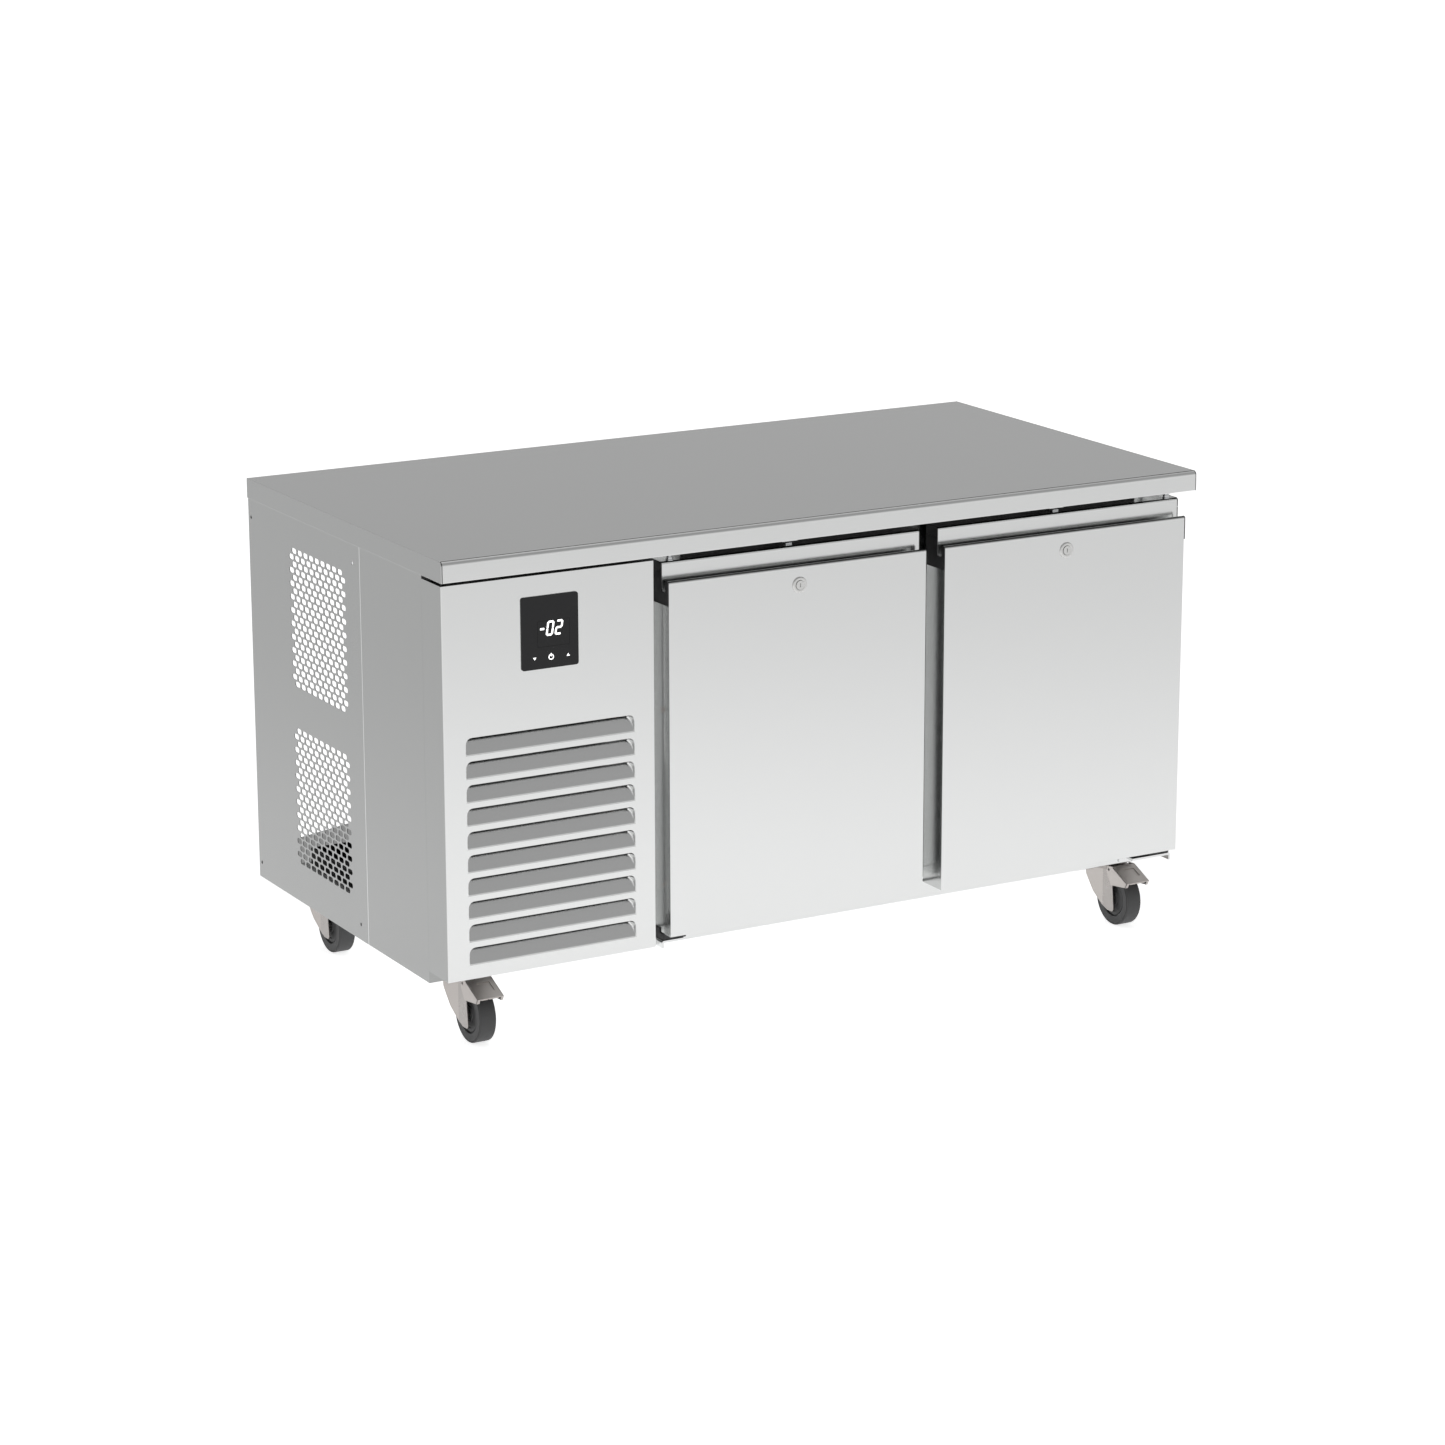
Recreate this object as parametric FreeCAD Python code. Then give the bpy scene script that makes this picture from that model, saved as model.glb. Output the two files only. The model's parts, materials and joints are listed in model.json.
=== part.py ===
import FreeCAD, Part
import math
import os

# Undercounter refrigerator on casters: two hinged doors on the right, a louvred machine
# compartment on the left. Millimetres; origin at the middle of the footprint on the floor,
# +X along the front, -Y towards the user, +Z up.

V = FreeCAD.Vector
X_AXIS, Y_AXIS, Z_AXIS = V(1, 0, 0), V(0, 1, 0), V(0, 0, 1)
os.makedirs("parts", exist_ok=True)

# ---------------------------------------------------------------- driving dimensions
WIDTH, DEPTH, HEIGHT = 1486.0, 787.4, 850.0
TOP_THICK = 35.7             # folded worktop edge
TOP_SHEET = 1.2
TOP_EDGE_R = 8.3             # rounded front edge of the worktop
SHEET = 1.0                  # casing sheet
BODY_X = 741.75              # outer side faces of the casing
FACE_Y = -387.95             # front faces of the doors and the louvred cover
FRONT_Y = -315.0             # front frame of the insulated body
BACK_Y = 391.0               # back of the insulated body
SKIRT_Z = 117.4              # lowest edge of the side panels
FLOOR_Z = 130.0              # top of the base plate
FLOOR_SHEET = 2.0
UNIT_X = -350.0              # wall between machine compartment and cold body
CAVITY_Z = (175.0, 758.0)
CAVITY_BACK = 336.0
MULLION_X = (153.0, 246.5)

DOOR_X = {"left": (-323.5, 180.5), "right": (219.0, 723.0)}
DOOR_Z = 150.5               # bottom edge of the doors
DOOR_TOP = 798.0
DOOR_BACK = -328.0
LIP_TOP = 768.6              # rolled lip in front of the finger groove
LIP_BACK = -378.5
GROOVE_FLOOR = 749.0
GROOVE_WALL = -364.3
GROOVE_EDGE_R = 5.0
CAP_Z = 726.8                # lower edge of the plastic end caps
CAP_PROUD = 1.5
HINGE_INSET = 19.0           # hinge axis from the door's outer side
HINGE_Y = -356.0
PIN_R = 4.0
RUNNING = 0.1                # radial clearance of every running fit
LOCK_X = {"left": -71.5, "right": 471.0}
LOCK_Z = 734.9
LOCK_R = 14.2
SLEEVE_R = 11.0
LOCK_BACK = -353.0           # back of the lock barrel, where its crank pin starts
BOLT_Y = (-351.5, -345.0)
GASKET_FACE = -315.4
GASKET_W = 12.0

COVER_X = (-741.75, -351.7)
COVER_Z = (138.5, 808.5)
LOUVRE_X = (-702.0, -389.9)
LOUVRE_H, LOUVRE_PITCH, LOUVRE_COUNT = 29.7, 39.8, 10
LOUVRE_TOP_SLOT = 520.9      # lower edge of the highest louvre
LOUVRE_CORNER_R = 11.0
BEZEL_X, BEZEL_Z, BEZEL_R = (-598.7, -494.1), (650.7, 773.6), 4.5

PANEL_SEAM = -75.5
SLOT_W, SLOT_H, SLOT_PITCH, ROW_PITCH, ROWS = 18.6, 9.7, 23.8, 11.935, 21
GRID_TOPS = (755.6, 432.3)
GRID_FIRST_Y = 6.6           # first slot of the nine-slot rows
FIXING_R = 2.6               # empty fixing holes in the perforated panel

WHEEL_R, WHEEL_W, HUB_R, AXLE_R = 50.0, 30.0, 34.0, 6.0
WHEEL_X = 655.2
WHEEL_Y = {"front": -309.2, "rear": 255.3}
TRAIL = 38.0                 # swivel axis behind the wheel centre
LEG_IN, LEG_OUT = 18.3, 20.8  # fork leg faces from the wheel's middle plane
CROWN_Z = (104.0, 111.5)
RACE_TOP = FLOOR_Z - FLOOR_SHEET - 3.0


# ---------------------------------------------------------------- helpers
def box(x, y, z):
    """Block from three (low, high) pairs."""
    return Part.makeBox(x[1] - x[0], y[1] - y[0], z[1] - z[0], V(x[0], y[0], z[0]))


def rod(radius, start, axis, length):
    return Part.makeCylinder(radius, length, start, axis)


def fuse(solids):
    return solids[0].multiFuse(solids[1:]).removeSplitter()


def cut(solid, *tools):
    return solid.cut(list(tools)).removeSplitter()


def outline(start, *steps):
    """Closed face in the YZ plane. A step is an end point, or (middle, end) for an arc."""
    edges, here = [], V(0, *start)
    for step in steps + (start,):
        if isinstance(step[0], tuple):
            middle, end = V(0, *step[0]), V(0, *step[1])
            edges.append(Part.Arc(here, middle, end).toShape())
        else:
            end = V(0, *step)
            edges.append(Part.LineSegment(here, end).toShape())
        here = end
    return Part.Face(Part.Wire(edges))


def extrude(face, x):
    """YZ face pushed along X over a (low, high) pair."""
    solid = face.extrude(V(x[1] - x[0], 0, 0))
    solid.translate(V(x[0], 0, 0))
    return solid


def arc_point(centre, radius, degrees):
    angle = math.radians(degrees)
    return (centre[0] + radius * math.cos(angle), centre[1] + radius * math.sin(angle))


def pipe(points, radius, bend):
    """Tube along straight runs joined by tangent arcs."""
    corners = [V(*p) for p in points]
    edges, here = [], corners[0]
    for before, corner, after in zip(corners, corners[1:], corners[2:]):
        towards = (before - corner).normalize()
        away = (after - corner).normalize()
        half_turn = (math.pi - towards.getAngle(away)) / 2
        setback = bend * math.tan(half_turn)
        enter, leave = corner + towards * setback, corner + away * setback
        inward = (towards + away).normalize()
        middle = corner + inward * (bend / math.cos(half_turn) - bend)
        edges.append(Part.LineSegment(here, enter).toShape())
        edges.append(Part.Arc(enter, middle, leave).toShape())
        here = leave
    edges.append(Part.LineSegment(here, corners[-1]).toShape())
    ring = Part.Wire(Part.Circle(corners[0], corners[1] - corners[0], radius).toShape())
    return Part.Wire(edges).makePipeShell([ring], True, False)


def save(name, *solids):
    shape = solids[0] if len(solids) == 1 else Part.makeCompound(list(solids))
    shape.exportStep(os.path.join("parts", name + ".step"))


# ---------------------------------------------------------------- worktop
def worktop_slab(inset):
    """Slab with a rounded front top edge, inset on every side but the underside."""
    low, top = HEIGHT - TOP_THICK, HEIGHT - inset
    front, back = -DEPTH / 2 + inset, DEPTH / 2 - inset
    centre = (-DEPTH / 2 + TOP_EDGE_R, HEIGHT - TOP_EDGE_R)
    middle = arc_point(centre, TOP_EDGE_R - inset, 135)
    face = outline((front, low), (front, centre[1]), (middle, (centre[0], top)),
                   (back, top), (back, low))
    return extrude(face, (-WIDTH / 2 + inset, WIDTH / 2 - inset))


def make_worktop():
    core = worktop_slab(TOP_SHEET)
    save("worktop", cut(worktop_slab(0), core))
    save("worktop_core", core)


# ---------------------------------------------------------------- insulated body
OPENING_X = (DOOR_X["left"][0] + 27.5, DOOR_X["right"][1] - 27.5)
BODY_TOP = HEIGHT - TOP_THICK


def grown(span, amount):
    return (span[0] - amount, span[1] + amount)


def make_cold_body():
    liner_x, liner_z = grown(OPENING_X, SHEET), grown(CAVITY_Z, SHEET)
    liner = box(liner_x, (FRONT_Y, CAVITY_BACK + SHEET), liner_z)
    cavity = box(OPENING_X, (FRONT_Y, CAVITY_BACK), CAVITY_Z)
    shell = box((UNIT_X, BODY_X), (FRONT_Y, BACK_Y), (FLOOR_Z, BODY_TOP))
    inside = box((UNIT_X + SHEET, BODY_X - SHEET), (FRONT_Y + SHEET, BACK_Y - SHEET),
                 (FLOOR_Z + SHEET, BODY_TOP - SHEET))
    skirt = box((BODY_X - SHEET, BODY_X), (FRONT_Y, BACK_Y), (SKIRT_Z, FLOOR_Z))
    save("outer_shell", fuse([cut(shell, inside, liner), skirt]))
    save("insulation_foam", cut(inside, liner))
    save("inner_liner", cut(liner, cavity))
    post = box(MULLION_X, (FRONT_Y, FRONT_Y + 60), CAVITY_Z)
    hollow = box(grown(MULLION_X, -1.2), (FRONT_Y + 1.2, FRONT_Y + 58.8), CAVITY_Z)
    save("centre_mullion", cut(post, hollow))


def caster_places():
    for end, wheel_y in WHEEL_Y.items():
        for side, sign in (("left", -1), ("right", 1)):
            yield "caster_%s_%s" % (end, side), sign * WHEEL_X, wheel_y


def plate_holes(low, high, radius):
    """One rod for each of the sixteen caster bolts."""
    return [rod(radius, V(x + dx, y + TRAIL + dy, low), Z_AXIS, high - low)
            for _, x, y in caster_places() for dx in (-40, 40) for dy in (-30, 30)]


def make_base():
    pan = box(grown((-BODY_X, BODY_X), -SHEET), (FRONT_Y + SHEET, BACK_Y - SHEET), (SKIRT_Z, FLOOR_Z))
    under = box(grown((-BODY_X, BODY_X), -SHEET - 1.5), (FRONT_Y + SHEET + 1.5, BACK_Y - SHEET - 1.5),
                (SKIRT_Z, FLOOR_Z - FLOOR_SHEET))
    save("base_frame", cut(pan, under, *plate_holes(FLOOR_Z - 5, FLOOR_Z + 1, 4.25)))
    rail = box((UNIT_X, BODY_X), (FRONT_Y - 6, FRONT_Y), (SKIRT_Z, DOOR_Z - 0.5))
    channel = box((UNIT_X, BODY_X), (FRONT_Y - 4.5, FRONT_Y), (SKIRT_Z + 1.5, DOOR_Z - 2))
    save("bottom_rail", cut(rail, channel))


# ---------------------------------------------------------------- machine compartment casing
def perforation_points():
    """Slot centres (y, z): two staggered grids, rows of nine and ten slots in turn."""
    for top in GRID_TOPS:
        for row in range(ROWS):
            long_row = row % 2
            first = GRID_FIRST_Y - long_row * SLOT_PITCH / 2
            for k in range(9 + long_row):
                yield first + k * SLOT_PITCH, top - row * ROW_PITCH


def slot_wire(y, z):
    """Obround in the left side's plane."""
    end_r = SLOT_H / 2
    reach = SLOT_W / 2 - end_r

    def at(dy, dz):
        return V(-BODY_X, y + dy, z + dz)

    return Part.Wire([Part.LineSegment(at(-reach, -end_r), at(reach, -end_r)).toShape(),
                      Part.Arc(at(reach, -end_r), at(reach + end_r, 0), at(reach, end_r)).toShape(),
                      Part.LineSegment(at(reach, end_r), at(-reach, end_r)).toShape(),
                      Part.Arc(at(-reach, end_r), at(-reach - end_r, 0), at(-reach, -end_r)).toShape()])


def fixing_points():
    return [(y, z) for y in (PANEL_SEAM + 30.3, 381.4) for z in (145.6, 781.5)]


def make_side_panels():
    outer, inner = (-BODY_X, -BODY_X + SHEET), (-BODY_X, -BODY_X + 29.5)
    tall = (SKIRT_Z, BODY_TOP)
    plain = box(outer, (FRONT_Y, PANEL_SEAM - 0.25), tall)
    flange = box(inner, (FRONT_Y, FRONT_Y + SHEET), tall)
    save("side_panel_plain", fuse([plain, flange]))
    rim = Part.makePolygon([V(-BODY_X, y, z) for y, z in (
        (PANEL_SEAM + 0.25, tall[0]), (393, tall[0]), (393, tall[1]), (PANEL_SEAM + 0.25, tall[1]),
        (PANEL_SEAM + 0.25, tall[0]))])
    holes = [slot_wire(y, z) for y, z in perforation_points()]
    holes += [Part.Wire(Part.Circle(V(-BODY_X, y, z), X_AXIS, FIXING_R).toShape())
              for y, z in fixing_points()]
    sheet = Part.makeFace([Part.Wire(rim)] + holes, "Part::FaceMakerBullseye").extrude(V(SHEET, 0, 0))
    back_flange = box(inner, (393 - SHEET, 393), tall)
    save("side_panel_perforated", fuse([sheet, back_flange]))


def louvre(low):
    """Pressed blade: fixed along its lower edge, leaning in, with a cheek at each end."""
    face_in, lean, rise = FACE_Y + SHEET, 11.0, LOUVRE_H - 4.0
    blade = outline((FACE_Y, low), (face_in, low), (face_in + lean, low + rise),
                    (FACE_Y + lean, low + rise))
    cheek = outline((FACE_Y, low), (face_in + lean, low + rise), (face_in, low + rise),
                    (FACE_Y, low + rise))
    left, right = LOUVRE_X
    return fuse([extrude(blade, LOUVRE_X), extrude(cheek, (left, left + SHEET)),
                 extrude(cheek, (right - SHEET, right))])


def louvre_window(low):
    """Slot with square lower and rounded upper corners."""
    slot = box(LOUVRE_X, (FACE_Y - 1, FACE_Y + SHEET + 1), (low, low + LOUVRE_H))
    corners = [e for e in slot.Edges if e.BoundBox.YLength > 1 and e.BoundBox.ZMin > low + 1]
    return slot.makeFillet(LOUVRE_CORNER_R, corners)


def make_front_cover():
    depth = (FACE_Y, FRONT_Y - 0.2)
    pan = box(COVER_X, depth, COVER_Z)
    inside = box(grown(COVER_X, -SHEET), (FACE_Y + SHEET, depth[1]), grown(COVER_Z, -SHEET))
    lows = [LOUVRE_TOP_SLOT - k * LOUVRE_PITCH for k in range(LOUVRE_COUNT)]
    display = box(grown(BEZEL_X, -4.5), (FACE_Y - 1, FACE_Y + 2), grown(BEZEL_Z, -4.5))
    sheet = cut(pan, inside, display, *[louvre_window(low) for low in lows])
    save("unit_front_cover", fuse([sheet] + [louvre(low) for low in lows]))


def make_controller():
    plate = box(BEZEL_X, (FACE_Y - 2.5, FACE_Y), BEZEL_Z)
    corners = [e for e in plate.Edges if abs(e.BoundBox.YLength - 2.5) < 0.01]
    window = box(grown(BEZEL_X, -7), (FACE_Y - 3, FACE_Y - 1.7), (BEZEL_Z[0] + 26, BEZEL_Z[1] - 18))
    save("controller_bezel", cut(plate.makeFillet(BEZEL_R, corners), window))
    save("controller_housing", box(grown(BEZEL_X, -6.5), (FACE_Y, FACE_Y + 42), grown(BEZEL_Z, -6.5)))


def make_rear_panel():
    """Low closing sheet at the back of the compartment, with a sloping top edge and a cable gland."""
    left, right = -BODY_X + 31, UNIT_X - 1
    corners = [(left, SKIRT_Z + 2), (right, SKIRT_Z + 2), (right, 219), (left, 171.5)]
    face = Part.Face(Part.makePolygon([V(x, BACK_Y - SHEET, z) for x, z in corners + corners[:1]]))
    sheet = face.extrude(V(0, 1.2, 0))
    centre = V(-400, 0, 175)
    gland_hole = rod(9, centre + V(0, BACK_Y - 5, 0), Y_AXIS, 20)
    save("unit_rear_panel", cut(sheet, gland_hole))
    front, back = BACK_Y - 25, 393.6
    neck = rod(9, centre + V(0, front, 0), Y_AXIS, back - front)
    nut = rod(13, centre + V(0, BACK_Y - 8, 0), Y_AXIS, 8 - SHEET)
    bore = rod(4.25, centre + V(0, front - 1, 0), Y_AXIS, back - front + 2)
    save("cord_gland", cut(fuse([neck, nut]), bore))


# ---------------------------------------------------------------- refrigeration unit
def finned_coil(length, depth, height, fins, rows):
    """Plate fins on straight tubes along X, with a thicker plate at each end."""
    pitch = (length - SHEET) / (fins - 1)
    plates = [box((k * pitch, k * pitch + SHEET), (0, depth), (0, height)) for k in range(fins)]
    step = height / rows
    tubes = [rod(4.5, V(0, y, step * (k + 0.5)), X_AXIS, length)
             for k in range(rows) for y in (depth * 0.3, depth * 0.7)]
    return fuse(plates + tubes)


def fan_rotor(radius, hub_r, width, blades):
    """Axial fan about Z from z = 0 to width, bored for its motor shaft."""
    hub = rod(hub_r, V(0, 0, 0), Z_AXIS, width)
    swept = rod(radius, V(0, 0, 0), Z_AXIS, width)
    parts = [hub]
    for k in range(blades):
        blade = box((hub_r - 3, radius + 5), (-radius * 0.3, radius * 0.3), (-0.8, 0.8))
        blade.rotate(V(0, 0, 0), X_AXIS, 24)
        blade.translate(V(0, 0, width / 2))
        blade.rotate(V(0, 0, 0), Z_AXIS, 360.0 * k / blades)
        parts.append(blade.common(swept))
    return cut(fuse(parts), rod(PIN_R + RUNNING, V(0, 0, -1), Z_AXIS, width + 2))


def fan_motor(radius, length, shaft):
    """Motor about Z from z = 0, its shaft pointing towards -Z."""
    body = rod(radius, V(0, 0, 0), Z_AXIS, length)
    return fuse([body, rod(PIN_R, V(0, 0, -shaft), Z_AXIS, shaft)])


CONDENSER_FAN = V(-550, -252, 360)
EVAPORATOR_FAN = V(152, -120, 560)


def turned_to_y(solid, place):
    """Local Z to +Y at a place."""
    solid.rotate(V(0, 0, 0), X_AXIS, -90)
    solid.translate(place)
    return solid


def turned_to_x(solid, place):
    """Local Z to +X at a place."""
    solid.rotate(V(0, 0, 0), Y_AXIS, 90)
    solid.translate(place)
    return solid


def make_condenser():
    coil = finned_coil(300, 43, 400, 16, 6)
    coil.translate(V(-700, -305, 160))
    feet = [box((x, x + 20), (-305, -262), (FLOOR_Z, 160)) for x in (-700, -420)]
    save("condenser_coil", fuse([coil] + feet))
    centre = V(CONDENSER_FAN.x, -262, CONDENSER_FAN.z)
    plate = box((-705, -395), (-262, -260), (FLOOR_Z, 575))
    ring = rod(130, centre, Y_AXIS, 40)
    save("condenser_shroud", cut(fuse([plate, ring]), rod(128, centre - V(0, 1, 0), Y_AXIS, 50)))
    fan = turned_to_y(fan_rotor(122, 32, 24, 5), CONDENSER_FAN)
    save("condenser_fan", fan)
    strap = box((-681, -419), (-222, -219), (350, 370))
    motor = turned_to_y(fan_motor(38, 52, 32), V(CONDENSER_FAN.x, -220.5, CONDENSER_FAN.z))
    return fuse([motor, strap])


def make_evaporator():
    case = box((145, 255), (FRONT_Y + 62, 300), (190, 745))
    hollow = box((146.2, 253.8), (FRONT_Y + 63.2, 298.8), (191.2, 743.8))
    inlet = rod(84, V(144, EVAPORATOR_FAN.y, EVAPORATOR_FAN.z), X_AXIS, 4)
    slots = [box((253, 256), (20, 260), (z, z + 14)) for z in range(240, 700, 40)]
    save("evaporator_housing", cut(case, hollow, inlet, *slots))
    coil = finned_coil(460, 70, 220, 14, 4)
    coil.rotate(V(0, 0, 0), Y_AXIS, -90)
    coil.rotate(V(0, 0, 0), Z_AXIS, 90)
    low = coil.BoundBox
    coil.translate(V(165 - low.XMin, 40 - low.YMin, 230 - low.ZMin))
    save("evaporator_coil", coil)
    save("evaporator_fan", turned_to_x(fan_rotor(78, 24, 20, 5), EVAPORATOR_FAN))
    motor = turned_to_x(fan_motor(28, 44, 26), EVAPORATOR_FAN + V(25, 0, 0))
    bracket = box((221, 253.8), (-135, -105), (545, 575))
    return fuse([motor, bracket])


COMPRESSOR = V(-520, -35, 0)


def make_compressor():
    shell = rod(82, COMPRESSOR + V(0, 0, 146), Z_AXIS, 190)
    rims = [e for e in shell.Edges if e.BoundBox.ZLength < 0.01]
    shell = shell.makeFillet(38, rims)
    foot = box((-615, -425), (-110, 40), (142, 150))
    legs = [rod(11, V(x, y, FLOOR_Z), Z_AXIS, 12) for x in (-600, -440) for y in (-95, 25)]
    bosses = [rod(8, V(-500, y, z), X_AXIS, 74) for y, z in ((-35, 290), (-60, 205))]
    cover = box((-545, -495), (30, 62), (190, 260))
    save("compressor", fuse([shell, foot] + legs + bosses + [cover]))
    suction = pipe([(-426, -35, 290), (-385, -35, 290), (-385, 140, 290), (UNIT_X, 140, 290)], 5, 14)
    discharge = pipe([(-426, -60, 205), (-376, -60, 205), (-376, -284, 205), (-400, -284, 205)], 4, 11)
    liquid = pipe([(-400, -284, 520), (-366, -284, 520), (-366, 80, 520), (UNIT_X, 80, 520)], 4, 7)
    save("refrigerant_pipes", suction, discharge, liquid)


def make_unit_trim():
    save("electrical_box", box((UNIT_X - 80, UNIT_X), (170, 320), (380, 600)))
    tray = box((-650, -420), (190, 372), (FLOOR_Z, 162))
    save("evaporation_tray", cut(tray, box((-648, -422), (192, 370), (FLOOR_Z + 2, 163))))


# ---------------------------------------------------------------- shelves
SHELF_X = {"left": (-292.0, 141.0), "right": (259.0, 691.5)}
SHELF_Y = (-285.0, 325.0)
SHELF_Z = 450.0


def wire_shelf(x):
    frame_r, wire_r = 3.0, 1.6
    ends = [rod(frame_r, V(x[0], y, SHELF_Z), X_AXIS, x[1] - x[0]) for y in grown(SHELF_Y, -frame_r)]
    sides = [rod(frame_r, V(sx, SHELF_Y[0], SHELF_Z), Y_AXIS, SHELF_Y[1] - SHELF_Y[0])
             for sx in grown(x, -frame_r)]
    count = 16
    gap = (x[1] - x[0]) / (count + 1)
    wires = [rod(wire_r, V(x[0] + gap * (k + 1), SHELF_Y[0], SHELF_Z + 3.8), Y_AXIS,
                 SHELF_Y[1] - SHELF_Y[0]) for k in range(count)]
    return fuse(ends + sides + wires)


def runner(wall, inward, y):
    """Angle strip on a wall at x = wall, its ledge pointing along inward (+1 or -1)."""
    ledge = sorted((wall, wall + inward * 16))
    stem = sorted((wall, wall + inward * 1.5))
    low = SHELF_Z - 3 - 1.5
    return fuse([box(ledge, y, (low, SHELF_Z - 3)), box(stem, y, (low, SHELF_Z + 12))])


def make_shelves():
    save("shelves", *[wire_shelf(x) for x in SHELF_X.values()])
    behind_post = (FRONT_Y + 70, 290)
    save("shelf_supports", runner(OPENING_X[0], 1, SHELF_Y), runner(145, -1, behind_post),
         runner(255, 1, behind_post), runner(OPENING_X[1], -1, SHELF_Y))


# ---------------------------------------------------------------- doors
def door_profile(inset, back=DOOR_BACK):
    """Side outline of a door: flat face, rolled lip, finger groove, rounded top edge."""
    lip_y, lip_r = (FACE_Y + LIP_BACK) / 2, (LIP_BACK - FACE_Y) / 2
    lip_z = LIP_TOP - lip_r
    edge = (GROOVE_WALL + GROOVE_EDGE_R, DOOR_TOP - GROOVE_EDGE_R)
    return outline(
        (FACE_Y + inset, DOOR_Z + inset), (FACE_Y + inset, lip_z),
        ((lip_y, LIP_TOP - inset), (LIP_BACK - inset, lip_z)),
        (LIP_BACK - inset, GROOVE_FLOOR - inset), (GROOVE_WALL + inset, GROOVE_FLOOR - inset),
        (GROOVE_WALL + inset, edge[1]),
        (arc_point(edge, GROOVE_EDGE_R - inset, 135), (edge[0], DOOR_TOP - inset)),
        (back, DOOR_TOP - inset), (back, DOOR_Z + inset))


def above_caps(x):
    return box(x, (-400, -300), (CAP_Z, 900))


def make_door(side):
    x = DOOR_X[side]
    outward = -1 if side == "left" else 1
    hinge_x = x[0] + HINGE_INSET if side == "left" else x[1] - HINGE_INSET
    lock_x = LOCK_X[side]
    inner_x = grown(x, -SHEET)
    name = "door_%s_" % side

    pin_way = rod(PIN_R + 0.6, V(hinge_x, HINGE_Y, DOOR_TOP - 2), Z_AXIS, 3)
    neck_hole = rod(8.1, V(hinge_x, HINGE_Y, DOOR_Z - 1), Z_AXIS, 3)
    barrel_hole = rod(SLEEVE_R, V(lock_x, FACE_Y - 1, LOCK_Z), Y_AXIS, 3)
    bolt_way = box((lock_x - 7, lock_x + 7), (-352, -344), (DOOR_TOP - 2, DOOR_TOP + 1))
    hollow = extrude(door_profile(SHEET), inner_x)
    open_ends = extrude(door_profile(SHEET), x).common(above_caps(x))
    save(name + "skin", cut(extrude(door_profile(0), x), hollow, open_ends,
                            pin_way, neck_hole, barrel_hole, bolt_way))

    dike = box(grown(x, -32), (DOOR_BACK, DOOR_BACK + 9), (CAVITY_Z[0] + 8, CAVITY_Z[1] - 8))
    dike_core = box(grown(x, -33), (DOOR_BACK - SHEET, DOOR_BACK + 8),
                    (CAVITY_Z[0] + 9, CAVITY_Z[1] - 9))
    pan = box(inner_x, (DOOR_BACK - SHEET, DOOR_BACK), (DOOR_Z + SHEET, DOOR_TOP - SHEET))
    save(name + "liner", cut(fuse([pan, dike]), dike_core))

    plug_x = {"left": (x[0] + 34, x[1] - 8), "right": (x[0] + 8, x[1] - 34)}[side]
    core = extrude(door_profile(SHEET, DOOR_BACK - SHEET), inner_x)
    cap_space = core.common(above_caps(x)).cut(above_caps(plug_x))
    bush = box((hinge_x - 15, hinge_x + 15), (HINGE_Y - 15, HINGE_Y + 15), (DOOR_Z + SHEET, DOOR_Z + 31))
    sleeve_way = rod(SLEEVE_R, V(lock_x, FACE_Y, LOCK_Z), Y_AXIS, -352 - FACE_Y)
    bolt_room = box((lock_x - 14, lock_x + 14), (-352.5, -343), (LOCK_Z - 18, DOOR_TOP))
    save(name + "foam", cut(fuse([core, dike_core]), cap_space, bush, sleeve_way, bolt_room))

    outer_plate = extrude(door_profile(0), (0, CAP_PROUD)).common(above_caps((-1, 5)))
    caps = []
    for end_x, plate_x, plug in ((x[0], x[0] - CAP_PROUD, (x[0], plug_x[0])),
                                 (x[1], x[1], (plug_x[1], x[1]))):
        plate = outer_plate.copy()
        plate.translate(V(plate_x, 0, 0))
        stopper = extrude(door_profile(SHEET, DOOR_BACK - SHEET), plug).common(above_caps(x))
        caps.append(fuse([plate, stopper]))
    bore = rod(PIN_R + RUNNING, V(hinge_x, HINGE_Y, DOOR_TOP - 24), Z_AXIS, 30)
    caps = [cut(cap, bore) for cap in caps]
    shoe_x = sorted((hinge_x + outward * 21, hinge_x - outward * 24))
    shoe = box(shoe_x, (HINGE_Y - 9, HINGE_Y + 22), (DOOR_Z - 11, DOOR_Z))
    step = box(sorted((hinge_x + outward * 21, hinge_x + outward * (HINGE_INSET + 0.2))),
               (HINGE_Y + 4, HINGE_Y + 22), (DOOR_Z, DOOR_Z + 8))
    neck = rod(8, V(hinge_x, HINGE_Y, DOOR_Z), Z_AXIS, SHEET)
    lower_bore = rod(PIN_R + RUNNING, V(hinge_x, HINGE_Y, DOOR_Z - 12), Z_AXIS, 36)
    caps.append(cut(fuse([shoe, step, neck, bush]), lower_bore))
    save(name + "end_caps", *caps)

    seal_x = grown(x, -14)
    seal_z = (CAVITY_Z[0] - 9, CAVITY_Z[1] + 9)
    seal = box(seal_x, (DOOR_BACK, GASKET_FACE), seal_z)
    window = box(grown(seal_x, -GASKET_W), (DOOR_BACK - 1, GASKET_FACE + 1), grown(seal_z, -GASKET_W))
    save(name + "gasket", cut(seal, window))


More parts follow.
